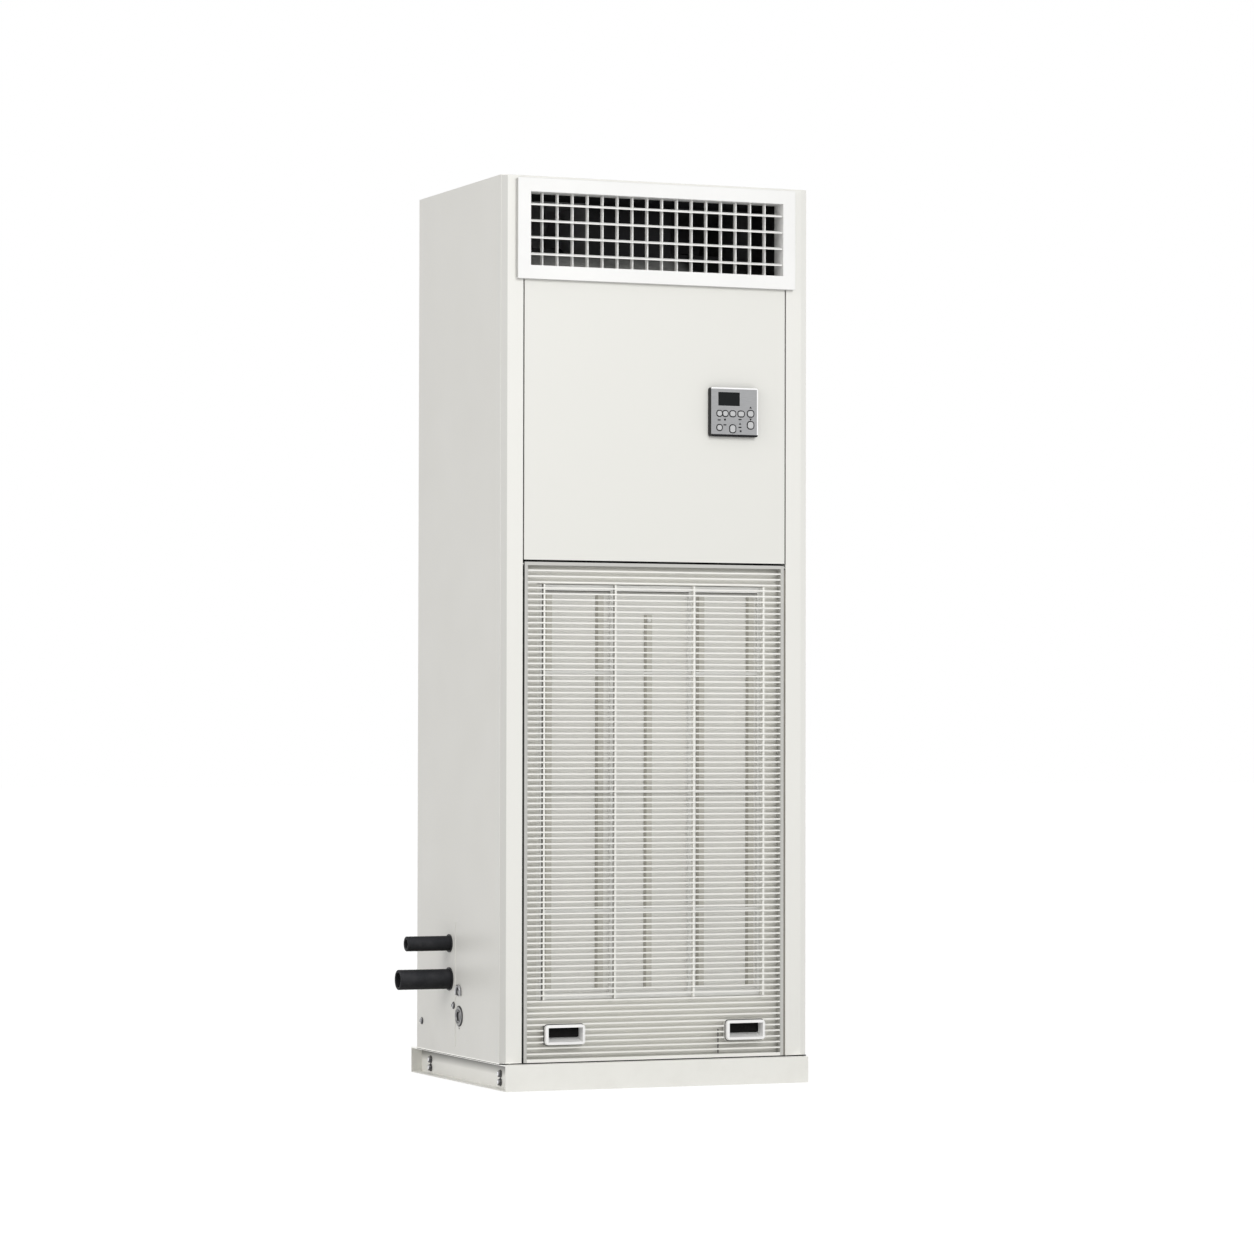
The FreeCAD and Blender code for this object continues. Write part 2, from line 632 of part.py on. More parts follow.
def outlet_frame():
    flange = rounded_block(
        (-FLANGE_HALF, FLANGE_HALF),
        (FLANGE_FRONT, FRONT),
        (FLANGE_BOTTOM, FLANGE_TOP),
        FLANGE_CORNER_RADIUS,
    )
    flange = flange.makeFillet(FLANGE_EDGE_RADIUS, front_edges(flange))
    wall = FLANGE_WALL
    pocket_half = FLANGE_HALF - wall
    pocket_z = (FLANGE_BOTTOM + wall, FLANGE_TOP - wall)
    pocket = block((-pocket_half, pocket_half), (FLANGE_FRONT + wall, FRONT), pocket_z)
    outer = OUTLET_HALF + COLLAR_WALL
    collar_z = (OUTLET_BOTTOM - COLLAR_WALL, OUTLET_TOP + COLLAR_WALL)
    collar = block((-outer, outer), (FLANGE_FRONT + wall, COLLAR_REAR), collar_z)
    frame = fused([flange.cut(pocket), collar])
    way = (FLANGE_FRONT - wall, COLLAR_REAR + wall)
    frame = frame.cut(block((-OUTLET_HALF, OUTLET_HALF), way, (OUTLET_BOTTOM, OUTLET_TOP)))
    radius = VANE_PIN_RADIUS + RUNNING_CLEARANCE
    holes = [rod(radius, V(-outer, ROW_VANE_Y, z), V(outer, ROW_VANE_Y, z)) for z in row_heights()]
    for x in column_places():
        holes.append(rod(radius, V(x, COLUMN_VANE_Y, collar_z[0]), V(x, COLUMN_VANE_Y, collar_z[1])))
    return frame.cut(Part.makeCompound(holes))


def vane(span):
    """A slat along X with a round nose, tapering to its tail, and a pin at each end."""
    nose = VANE_NOSE / 2
    tail = VANE_TAIL / 2
    front = -VANE_DEPTH / 2
    start = -span / 2 + VANE_END_GAP
    tail_top = V(start, -front, tail)
    nose_top = V(start, front + nose, nose)
    nose_low = V(start, front + nose, -nose)
    tail_low = V(start, -front, -tail)
    section = Part.Wire([
        Part.makeLine(tail_top, nose_top),
        Part.Arc(nose_top, V(start, front, 0), nose_low).toShape(),
        Part.makeLine(nose_low, tail_low),
        Part.makeLine(tail_low, tail_top),
    ])
    slat = Part.Face(section).extrude(V(span - 2 * VANE_END_GAP, 0, 0))
    reach = span / 2 + COLLAR_WALL
    pin = rod(VANE_PIN_RADIUS, V(-reach, 0, 0), V(reach, 0, 0))
    return slat.fuse(pin)


def row_vane(height):
    slat = vane(2 * OUTLET_HALF)
    slat.rotate(V(0, 0, 0), V(1, 0, 0), VANE_TILT)
    slat.translate(V(0, ROW_VANE_Y, height))
    return slat


def column_vane(place):
    slat = vane(OUTLET_HEIGHT)
    slat.rotate(V(0, 0, 0), V(0, 1, 0), -90)
    slat.translate(V(place, COLUMN_VANE_Y, (OUTLET_TOP + OUTLET_BOTTOM) / 2))
    return slat


# Fan section: two scrolls feeding one duct, a double shaft motor between them on two rails
def scroll_face(x, wall):
    """The spiral outline of the scroll at one place along X, grown outwards by the wall."""
    step = SCROLL_STEP
    first = SCROLL_RADIUS + wall
    second = first + 2 * step
    third = second + 2 * step
    slope = math.sqrt(0.5)
    low = SCROLL_TOP - OUTLET_HEIGHT - wall

    def at(ahead, up):
        return V(x, FAN_Y + ahead, FAN_Z + up)

    front = at(step - first, -step)
    below = at(step, -step - first)
    behind = at(step + second, step)
    above = at(-step, step + third)
    mouth_top = at(-SCROLL_RADIUS, step + third)
    mouth_low = at(-SCROLL_RADIUS, low)
    tongue = at(step - first, low)
    edges = [
        Part.Arc(front, at(step - first * slope, -step - first * slope), below).toShape(),
        Part.Arc(below, at(step + second * slope, step - second * slope), behind).toShape(),
        Part.Arc(behind, at(-step + third * slope, step + third * slope), above).toShape(),
        Part.makeLine(above, mouth_top),
        Part.makeLine(mouth_top, mouth_low),
        Part.makeLine(mouth_low, tongue),
        Part.makeLine(tongue, front),
    ]
    return Part.Face(Part.Wire(edges))


def fan_housing(side):
    left = side * FAN_SPACING / 2 - SCROLL_WIDTH / 2
    right = left + SCROLL_WIDTH
    sheet = SCROLL_SHEET
    shell = scroll_face(left, sheet).extrude(V(SCROLL_WIDTH, 0, 0))
    feet = []
    for edge in (left, right - sheet):
        feet.append(block(
            (edge, edge + sheet),
            (FAN_Y - FOOT_LENGTH / 2, FAN_Y + FOOT_LENGTH / 2),
            (RAIL_TOP, RAIL_TOP + FOOT_HEIGHT),
        ))
    shell = fused([shell] + feet)
    shell = shell.cut(scroll_face(left + sheet, 0).extrude(V(SCROLL_WIDTH - 2 * sheet, 0, 0)))
    return shell.cut(rod(SCROLL_INLET_RADIUS, V(left, FAN_Y, FAN_Z), V(right, FAN_Y, FAN_Z)))


def fan_housings():
    return [fan_housing(-1), fan_housing(1)]


def discharge_duct():
    sheet = SCROLL_SHEET
    outer_half = OUTLET_HALF + sheet
    y = (COLLAR_REAR, SCROLL_OUTLET_Y)
    z = (OUTLET_BOTTOM, OUTLET_TOP)
    duct = block((-outer_half, outer_half), y, (z[0] - sheet, z[1] + sheet))
    duct = duct.cut(block((-OUTLET_HALF, OUTLET_HALF), (y[0], y[1] - sheet), z))
    for side in (-1, 1):
        left = side * FAN_SPACING / 2 - SCROLL_WIDTH / 2
        mouth = (left + sheet, left + SCROLL_WIDTH - sheet)
        duct = duct.cut(block(mouth, (y[1] - 2 * sheet, y[1]), z))
    return duct


def fan_wheel(side):
    middle = side * FAN_SPACING / 2
    inner = WHEEL_RADIUS - WHEEL_BLADE_CHORD
    axis = V(middle, FAN_Y, FAN_Z)
    half = WHEEL_WIDTH / 2
    sheet = V(WHEEL_SHEET, 0, 0)
    first = axis.sub(V(half, 0, 0))
    last = axis.add(V(half, 0, 0))
    rings = [
        ring(WHEEL_RADIUS, inner, first, first.add(sheet)),
        ring(WHEEL_RADIUS, inner, last.sub(sheet), last),
    ]
    disc = rod(WHEEL_RADIUS, axis.sub(sheet * 0.5), axis.add(sheet * 0.5))
    hub = rod(HUB_RADIUS, axis.sub(V(HUB_LENGTH / 2, 0, 0)), axis.add(V(HUB_LENGTH / 2, 0, 0)))
    chord = WHEEL_BLADE_CHORD - 4 * BLADE_SHEET
    blades = []
    for index in range(WHEEL_BLADES):
        blade = block((-half, half), (-chord / 2, chord / 2), (-BLADE_SHEET / 2, BLADE_SHEET / 2))
        blade.rotate(V(0, 0, 0), V(1, 0, 0), BLADE_ANGLE)
        blade.translate(V(0, (WHEEL_RADIUS + inner) / 2, 0))
        blade.rotate(V(0, 0, 0), V(1, 0, 0), 360.0 * index / WHEEL_BLADES)
        blade.translate(axis)
        blades.append(blade)
    wheel = fused([disc, hub] + rings + blades)
    bore = SHAFT_RADIUS + RUNNING_CLEARANCE
    return wheel.cut(rod(bore, first, last))


def fan_wheels():
    return [fan_wheel(-1), fan_wheel(1)]


def motor_shaft():
    reach = FAN_SPACING / 2 + HUB_LENGTH
    return rod(SHAFT_RADIUS, V(-reach, FAN_Y, FAN_Z), V(reach, FAN_Y, FAN_Z))


def fan_motor():
    half = MOTOR_LENGTH / 2
    start = V(-half, FAN_Y, FAN_Z)
    end = V(half, FAN_Y, FAN_Z)
    motor = rod(MOTOR_RADIUS, start, end)
    bore = rod(SHAFT_RADIUS + RUNNING_CLEARANCE, start, end)
    cradle_half = half - CRADLE_INSET
    legs_y = (FAN_Y - RAIL_SPACING / 2 - RAIL_WIDTH / 2, FAN_Y + RAIL_SPACING / 2 + RAIL_WIDTH / 2)
    cradle = block((-cradle_half, cradle_half), legs_y, (RAIL_TOP, FAN_Z))
    hollow = (-cradle_half + WHEEL_SHEET, cradle_half - WHEEL_SHEET)
    cradle = cradle.cut(block(hollow, legs_y, (RAIL_TOP + WHEEL_SHEET, FAN_Z)))
    return [motor.cut(bore), cradle.cut(rod(MOTOR_RADIUS + FIT_GAP, start, end))]


def fan_rails():
    rails = []
    half = INNER_SIDE - FIT_GAP
    for side in (-1, 1):
        middle = FAN_Y + side * RAIL_SPACING / 2
        y = (middle - RAIL_WIDTH / 2, middle + RAIL_WIDTH / 2)
        rail = block((-half, half), y, (RAIL_TOP - RAIL_HEIGHT, RAIL_TOP))
        hollow = (y[0] + WHEEL_SHEET, y[1] - WHEEL_SHEET)
        rails.append(rail.cut(block((-half, half), hollow, (RAIL_TOP - RAIL_HEIGHT, RAIL_TOP - WHEEL_SHEET))))
    return rails


# Intake: bulkhead with the filter's guides, filter, hinged grille and its pulls
def intake_bulkhead():
    plate_y = (BULKHEAD, BULKHEAD + SHEET)
    plate = block((-BULKHEAD_HALF, BULKHEAD_HALF), plate_y, (FLOOR + SHEET, BULKHEAD_TOP))
    filter_low = FLOOR + FILTER_BOTTOM
    window_half = FILTER_HALF_WIDTH - FILTER_BORDER
    window_z = (filter_low + FILTER_BORDER, FLOOR + FILTER_TOP - FILTER_BORDER)
    plate = plate.cut(block((-window_half, window_half), plate_y, window_z))
    box_z = (BOX_Z, BOX_Z + BOX_HEIGHT)
    plate = plate.cut(block((-BOX_HALF_WIDTH, BOX_HALF_WIDTH), plate_y, box_z))
    guide_front = BULKHEAD - FILTER_MEDIA_DEPTH - FILTER_FRAME_DEPTH - 2 * FIT_GAP - GUIDE_SHEET
    guide_z = (filter_low - GUIDE_SHEET, FLOOR + FILTER_TOP)
    wall_x = FILTER_HALF_WIDTH + FIT_GAP
    guide = block((wall_x, wall_x + GUIDE_SHEET), (guide_front, BULKHEAD), guide_z)
    lip = block((wall_x - FILTER_GUIDE_LAP, wall_x), (guide_front, guide_front + GUIDE_SHEET), guide_z)
    shelf = block((-wall_x, wall_x), (guide_front, BULKHEAD), (guide_z[0], filter_low))
    return fused([plate, guide, lip, mirrored(guide), mirrored(lip), shelf])


def filter_frame():
    rear = BULKHEAD - FIT_GAP - FILTER_MEDIA_DEPTH
    y = (rear - FILTER_FRAME_DEPTH, rear)
    half = FILTER_HALF_WIDTH
    low = FLOOR + FILTER_BOTTOM
    high = FLOOR + FILTER_TOP
    middle = (low + high) / 2
    inner = half - FILTER_BORDER
    xs = [-inner, -FILTER_RIB_X, FILTER_RIB_X, inner]
    rib_rows = [middle + step * FILTER_RIB_STEP for step in (-1, 0, 1)]
    zs = [low + FILTER_BORDER] + rib_rows + [high - FILTER_BORDER]
    frame = block((-half, half), y, (low, high))
    rib = FILTER_RIB / 2
    cells = []
    for x0, x1 in zip(xs, xs[1:]):
        for z0, z1 in zip(zs, zs[1:]):
            cell_x = (x0 + (rib if x0 > xs[0] else 0), x1 - (rib if x1 < xs[-1] else 0))
            cell_z = (z0 + (rib if z0 > zs[0] else 0), z1 - (rib if z1 < zs[-1] else 0))
            cells.append(block(cell_x, y, cell_z))
    return frame.cut(Part.makeCompound(cells))


def filter_media():
    rear = BULKHEAD - FIT_GAP
    half = FILTER_HALF_WIDTH - FILTER_BORDER / 2
    z = (FLOOR + FILTER_BOTTOM + FILTER_BORDER / 2, FLOOR + FILTER_TOP - FILTER_BORDER / 2)
    return block((-half, half), (rear - FILTER_MEDIA_DEPTH, rear), z)


def pull_body(side, grow):
    """The block that a pull takes up in the grille, grown by a clearance."""
    half = PULL_WIDTH / 2 - PULL_RIM + PULL_WALL + grow
    tall = PULL_HEIGHT / 2 - PULL_RIM + PULL_WALL + grow
    middle = side * PULL_CENTRE_X
    y = (FRONT, FRONT - PULL_PROUD + PULL_POCKET_DEPTH + PULL_WALL + grow)
    return block((middle - half, middle + half), y, (PULL_Z - tall, PULL_Z + tall))


def intake_grille():
    half = GRILLE_HALF
    frame = block((-half, half), (FRONT, GRILLE_REAR), (GRILLE_BOTTOM, GRILLE_TOP))
    inner = half - GRILLE_BORDER
    low = GRILLE_BOTTOM + GRILLE_BORDER
    high = GRILLE_TOP - GRILLE_BORDER
    window = block((-inner, inner), (FRONT, GRILLE_REAR), (low, high))
    pitch = (high - low + BAR_HEIGHT) / (BAR_COUNT + 1)
    bar_y = (FRONT + BAR_RECESS, FRONT + BAR_RECESS + BAR_DEPTH)
    bars = []
    for index in range(BAR_COUNT):
        z = low + (index + 1) * pitch - BAR_HEIGHT
        bars.append(block((-inner, inner), bar_y, (z, z + BAR_HEIGHT)))
    frame = frame.cut(window.cut(Part.makeCompound(bars)))
    surrounds = []
    for side in (-1, 1):
        middle = side * PULL_CENTRE_X
        x = (middle - PULL_WIDTH / 2, middle + PULL_WIDTH / 2)
        z = (PULL_Z - PULL_HEIGHT / 2, PULL_Z + PULL_HEIGHT / 2)
        surrounds.append(block(x, (FRONT, FRONT + BAR_RECESS + BAR_DEPTH), z))
    ribs = []
    rib_x = FILTER_HALF_WIDTH - GRILLE_RIB_INSIDE_FILTER
    rib_y = (FRONT + GRILLE_RIB_RECESS, GRILLE_REAR)
    rib_z = (FLOOR + FILTER_BOTTOM, FLOOR + FILTER_TOP)
    for x in (-rib_x, -FILTER_RIB_X, FILTER_RIB_X, rib_x):
        ribs.append(block((x - GRILLE_RIB / 2, x + GRILLE_RIB / 2), rib_y, rib_z))
    frame = frame.multiFuse(surrounds + ribs)
    for side in (-1, 1):
        frame = frame.cut(pull_body(side, FIT_GAP))
    pins = []
    for side in (-1, 1):
        start = V(side * half, HINGE_Y, HINGE_Z)
        pins.append(rod(HINGE_PIN_RADIUS, start, V(side * (BAY + SHEET), HINGE_Y, HINGE_Z)))
    return frame.multiFuse(pins)


def grille_pull(side):
    """A cup with a raised rim, whose floor rises towards the back."""
    middle = side * PULL_CENTRE_X
    x = (middle - PULL_WIDTH / 2, middle + PULL_WIDTH / 2)
    z = (PULL_Z - PULL_HEIGHT / 2, PULL_Z + PULL_HEIGHT / 2)
    front = FRONT - PULL_PROUD
    rim = rounded_block(x, (front, FRONT), z, PULL_CORNER_RADIUS)
    rim = rim.makeFillet(PULL_RIM / 2, front_edges(rim))
    cup = fused([rim, pull_body(side, 0)])
    half = PULL_WIDTH / 2 - PULL_RIM
    tall = PULL_HEIGHT / 2 - PULL_RIM
    rear = front + PULL_POCKET_DEPTH
    outline = [
        V(middle - half, front, PULL_Z - tall),
        V(middle - half, rear, PULL_Z - tall + PULL_FLOOR_RISE),
        V(middle - half, rear, PULL_Z + tall),
        V(middle - half, front, PULL_Z + tall),
    ]
    return cup.cut(prism(outline, V(2 * half, 0, 0)))


def grille_pulls():
    return [grille_pull(-1), grille_pull(1)]


# Cooling coil in its drain pan, with the refrigerant lines out to the left
def coil_fins():
    """Thin plates on the tubes, with a stronger plate at each end that stands in the pan."""
    y = (COIL_FRONT, COIL_FRONT + COIL_DEPTH)
    heights = [TUBE_BOTTOM + run * TUBE_PITCH for run in range(TUBE_RUNS)]

    def plate(x, sheet, bottom):
        outline = [V(x, y[0], bottom), V(x, y[1], bottom), V(x, y[1], COIL_TOP), V(x, y[0], COIL_TOP)]
        outer = Part.makePolygon(outline + outline[:1])
        radius = TUBE_RADIUS + TUBE_HOLE_CLEARANCE
        holes = [Part.Wire(Part.makeCircle(radius, V(x, COIL_Y, z), V(1, 0, 0))) for z in heights]
        face = Part.makeFace([outer] + holes, "Part::FaceMakerCheese")
        return face.extrude(V(sheet, 0, 0))

    step = (2 * COIL_HALF_WIDTH - FIN_SHEET) / (FIN_COUNT - 1)
    plates = [plate(-COIL_HALF_WIDTH + index * step, FIN_SHEET, COIL_BOTTOM) for index in range(FIN_COUNT)]
    plates.append(plate(-COIL_HALF_WIDTH - END_PLATE, END_PLATE, PAN_FLOOR + PAN_SHEET))
    plates.append(plate(COIL_HALF_WIDTH, END_PLATE, PAN_FLOOR + PAN_SHEET))
    return plates


def serpentine():
    edges = []
    reach = V(TUBE_END, 0, 0)
    for run in range(TUBE_RUNS):
        middle = V(0, COIL_Y, TUBE_BOTTOM + run * TUBE_PITCH)
        heading = 1 if run % 2 == 0 else -1
        start = middle.sub(reach * heading)
        end = middle.add(reach * heading)
        edges.append(Part.makeLine(start, end))
        if run < TUBE_RUNS - 1:
            up = V(0, 0, TUBE_PITCH)
            bulge = end.add(V(heading * TUBE_PITCH / 2, 0, TUBE_PITCH / 2))
            edges.append(Part.Arc(end, bulge, end.add(up)).toShape())
    return swept(Part.Wire(edges), TUBE_RADIUS)


def socket(centre, reach, radius):
    """The brazing socket at the end of a line, and where the line meets it."""
    mouth = centre.sub(V(reach - SOCKET_RECESS, 0, 0))
    inner = mouth.add(V(SOCKET_DEPTH, 0, 0))
    back = inner.add(V(SOCKET_STEP, 0, 0))
    return rod(radius + SOCKET_WALL, mouth, back).cut(rod(radius, mouth, inner)), back


def coil_tubes():
    line_x = -INNER_SIDE + TUBE_BEND + LINE_SIDE_GAP
    liquid_socket, liquid_end = socket(LIQUID, LIQUID_REACH, LIQUID_SOCKET_RADIUS)
    gas_socket, gas_end = socket(GAS, GAS_REACH, GAS_SOCKET_RADIUS)
    low = V(-TUBE_END, COIL_Y, TUBE_BOTTOM)
    high = V(-TUBE_END, COIL_Y, TUBE_TOP)
    riser_y = PIPE_Y + 2 * TUBE_BEND + RISER_GAP
    liquid_path = [
        low,
        V(line_x, COIL_Y, low.z),
        V(line_x, PIPE_Y, low.z),
        V(line_x, PIPE_Y, LIQUID.z),
        liquid_end,
    ]
    gas_path = [
        high,
        V(line_x, COIL_Y, high.z),
        V(line_x, riser_y, high.z),
        V(line_x, riser_y, GAS.z),
        V(line_x, PIPE_Y, GAS.z),
        gas_end,
    ]
    return [
        serpentine(),
        swept(tube_path(liquid_path, TUBE_BEND), TUBE_RADIUS),
        swept(tube_path(gas_path, TUBE_BEND), TUBE_RADIUS),
        liquid_socket,
        gas_socket,
    ]


def drain_pan():
    y = (BULKHEAD + SHEET + PAN_FRONT_GAP, DRAIN.y + PAN_BEHIND_DRAIN)
    half = PAN_HALF_WIDTH
    pan = block((-half, half), y, (FLOOR + SHEET, PAN_FLOOR + PAN_WALL_HEIGHT))
    sheet = PAN_SHEET
    inner = half - sheet
    pan = pan.cut(block((-inner, inner), (y[0] + sheet, y[1] - sheet), (PAN_FLOOR + sheet, TOP)))
    pan = pan.cut(block((-inner, inner), y, (FLOOR, PAN_FLOOR)))
    inside = V(-half + 2 * sheet, DRAIN.y, DRAIN.z)
    return pan.cut(rod(DRAIN_BODY_RADIUS + FIT_GAP, V(-half - sheet, DRAIN.y, DRAIN.z), inside))


def drain_socket():
    """A flanged spigot through the side panel into the pan's wall."""
    face = DRAIN.sub(V(DRAIN_FLANGE, 0, 0))
    inside = V(-PAN_HALF_WIDTH + PAN_SHEET, DRAIN.y, DRAIN.z)
    flange = rod(DRAIN_FLANGE_RADIUS, face, DRAIN)
    body = fused([flange, rod(DRAIN_BODY_RADIUS, DRAIN, inside)])
    return body.cut(rod(DRAIN_BORE_RADIUS, face, inside))


def pipe_plate():
    z = (FLOOR + PLATE_BOTTOM, FLOOR + PLATE_TOP)
    plate = block((-SIDE - PLATE_SHEET, -SIDE), PLATE_Y, z)
    for centre, radius in ((LIQUID, LIQUID_RADIUS), (GAS, GAS_RADIUS)):
        hole = rod(grommet_hole_radius(radius), centre.sub(V(SHEET * 2, 0, 0)), centre.add(V(SHEET, 0, 0)))
        plate = plate.cut(hole)
    for point in plate_screw_points():
        plate = plate.cut(screw_hole(point, V(-1, 0, 0)))
    return plate


def grommet(centre, radius, rim, seat):
    """A rubber ring through the sheet with a rim on the outside."""
    outside = centre.sub(V(seat, 0, 0))
    face = outside.sub(V(GROMMET_PROUD, 0, 0))
    inside = centre.add(V(SHEET + GROMMET_PROUD, 0, 0))
    body = fused([rod(rim, face, outside), rod(radius + GROMMET_WALL, outside, inside)])
    return body.cut(rod(radius, face, inside))


def wall_grommets():
    liquid = LIQUID_RADIUS + SLEEVE_CLEARANCE
    gas = GAS_RADIUS + SLEEVE_CLEARANCE
    return [
        grommet(LIQUID, liquid, liquid + GROMMET_RIM, PLATE_SHEET),
        grommet(GAS, gas, gas + GROMMET_RIM, PLATE_SHEET),
        grommet(CABLE, CABLE_BORE_RADIUS, CABLE_RIM_RADIUS, 0),
    ]


def pipe_sleeve(centre, radius, reach, socket_radius):
    inside = centre.add(V(SHEET + 2 * GROMMET_PROUD, 0, 0))
    outside = centre.sub(V(reach, 0, 0))
    return ring(radius, socket_radius + SOCKET_WALL + SLEEVE_CLEARANCE, outside, inside)


def pipe_sleeves():
    return [
        pipe_sleeve(LIQUID, LIQUID_RADIUS, LIQUID_REACH, LIQUID_SOCKET_RADIUS),
        pipe_sleeve(GAS, GAS_RADIUS, GAS_REACH, GAS_SOCKET_RADIUS),
    ]


# Electrical box let into the bulkhead from the front, with a screwed cover
def control_box():
    gap = FIT_GAP
    half = BOX_HALF_WIDTH - gap
    z = (BOX_Z + gap, BOX_Z + BOX_HEIGHT - gap)
    body = block((-half, half), (BULKHEAD - SHEET, BULKHEAD + BOX_DEPTH), z)
    rim_half = half + BOX_FLANGE
    rim_z = (z[0] - BOX_FLANGE, z[1] + BOX_FLANGE)
    rim = block((-rim_half, rim_half), (BULKHEAD - SHEET, BULKHEAD), rim_z)
    inner = half - SHEET
    hollow_y = (BULKHEAD - SHEET, BULKHEAD + BOX_DEPTH - SHEET)
    hollow = block((-inner, inner), hollow_y, (z[0] + SHEET, z[1] - SHEET))
    cover = block((-rim_half, rim_half), (BULKHEAD - 2 * SHEET, BULKHEAD - SHEET), rim_z)
    return [fused([body, rim]).cut(hollow), cover]


# Wired controller: a shell with a key board in it, a screen and eight keys
def button_places():
    for name, (left, up, width, height) in BUTTONS.items():
        yield name, CONTROLLER_LEFT + left, CONTROLLER_BOTTOM + up, width, height


def key_block(x, z, width, height, y, corner):
    return rounded_block((x - width / 2, x + width / 2), y, (z - height / 2, z + height / 2), corner)


def screen_place():
    x = CONTROLLER_LEFT + SCREEN_FROM_LEFT
    z = CONTROLLER_BOTTOM + CONTROLLER_TALL - SCREEN_FROM_TOP
    return x, z


def controller_case():
    x = (CONTROLLER_LEFT, CONTROLLER_LEFT + CONTROLLER_WIDTH)
    z = (CONTROLLER_BOTTOM, CONTROLLER_BOTTOM + CONTROLLER_TALL)
    case = rounded_block(x, (CONTROLLER_FACE, FRONT), z, CONTROLLER_CORNER)
    case = case.makeFillet(CONTROLLER_EDGE, front_edges(case))
    wall = CONTROLLER_WALL
    inner_x = (x[0] + wall, x[1] - wall)
    inner_z = (z[0] + wall, z[1] - wall)
    inner_face = CONTROLLER_FACE + wall
    case = case.cut(block(inner_x, (inner_face, FRONT), inner_z))
    gap = 2 * BUTTON_CLEARANCE
    through = (CONTROLLER_FACE, inner_face)
    for name, place_x, place_z, width, height in button_places():
        corner = min(width, height) * BUTTON_CORNER_SHARE
        case = case.cut(key_block(place_x, place_z, width + gap, height + gap, through, corner))
    screen_x, screen_z = screen_place()
    case = case.cut(key_block(screen_x, screen_z, SCREEN_WIDTH, SCREEN_TALL, through, SCREEN_CORNER))
    board_front = inner_face + BUTTON_LIP_THICKNESS + BUTTON_TRAVEL + BOARD_GAP
    board = block(inner_x, (board_front, board_front + BOARD_THICKNESS), inner_z)
    posts = block(inner_x, (board_front + BOARD_THICKNESS, FRONT), (z[0] + wall, z[0] + 3 * wall))
    return [case, fused([board, posts])]


def controller_screen():
    x, z = screen_place()
    front = CONTROLLER_FACE + SCREEN_RECESS
    gap = 2 * SLEEVE_CLEARANCE
    y = (front, front + SCREEN_THICKNESS)
    return key_block(x, z, SCREEN_WIDTH - gap, SCREEN_TALL - gap, y, SCREEN_CORNER)


def button(x, z, width, height):
    corner = min(width, height) * BUTTON_CORNER_SHARE
    inner_face = CONTROLLER_FACE + CONTROLLER_WALL + BUTTON_CLEARANCE / 2
    cap = key_block(x, z, width, height, (CONTROLLER_FACE - BUTTON_PROUD, inner_face), corner)
    cap = cap.makeFillet(BUTTON_PROUD / 2, front_edges(cap))
    lip_y = (inner_face, inner_face + BUTTON_LIP_THICKNESS)
    lip = key_block(x, z, width + 2 * BUTTON_LIP, height + 2 * BUTTON_LIP, lip_y, corner)
    return fused([cap, lip])


def main():
    nodes = {
        "left_side_panel": left_side_panel(),
        "right_side_panel": right_side_panel(),
        "rear_panel": rear_panel(),
        "top_panel": top_panel(),
        "floor_panel": floor_panel(),
        "upper_front_panel": upper_front_panel(),
        "base_cross_rails": base_cross_rails(),
        "base_side_rails": base_side_rails(),
        "base_bolts": base_bolts(),
        "outlet_frame": outlet_frame(),
        "discharge_duct": discharge_duct(),
        "fan_housings": fan_housings(),
        "fan_motor": fan_motor(),
        "fan_rails": fan_rails(),
        "motor_shaft": motor_shaft(),
        "fan_wheels": fan_wheels(),
        "intake_bulkhead": intake_bulkhead(),
        "filter_frame": filter_frame(),
        "filter_media": filter_media(),
        "intake_grille": intake_grille(),
        "grille_pulls": grille_pulls(),
        "coil_fins": coil_fins(),
        "coil_tubes": coil_tubes(),
        "drain_pan": drain_pan(),
        "drain_socket": drain_socket(),
        "pipe_plate": pipe_plate(),
        "wall_grommets": wall_grommets(),
        "pipe_sleeves": pipe_sleeves(),
        "control_box": control_box(),
        "controller_case": controller_case(),
        "controller_screen": controller_screen(),
        "panel_screws": panel_screws(),
    }
    for number, height in enumerate(row_heights(), start=1):
        nodes["row_vane_%d" % number] = row_vane(height)
    for number, place in enumerate(column_places(), start=1):
        nodes["column_vane_%02d" % number] = column_vane(place)
    for name, x, z, width, height in button_places():
        nodes[name] = button(x, z, width, height)
    os.makedirs("parts", exist_ok=True)
    for name, shape in nodes.items():
        solids = shape if isinstance(shape, list) else [shape]
        Part.makeCompound(solids).exportStep("parts/%s.step" % name)


main()
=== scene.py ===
import bpy
import json
import math
import numpy as np
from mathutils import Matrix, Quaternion, Vector

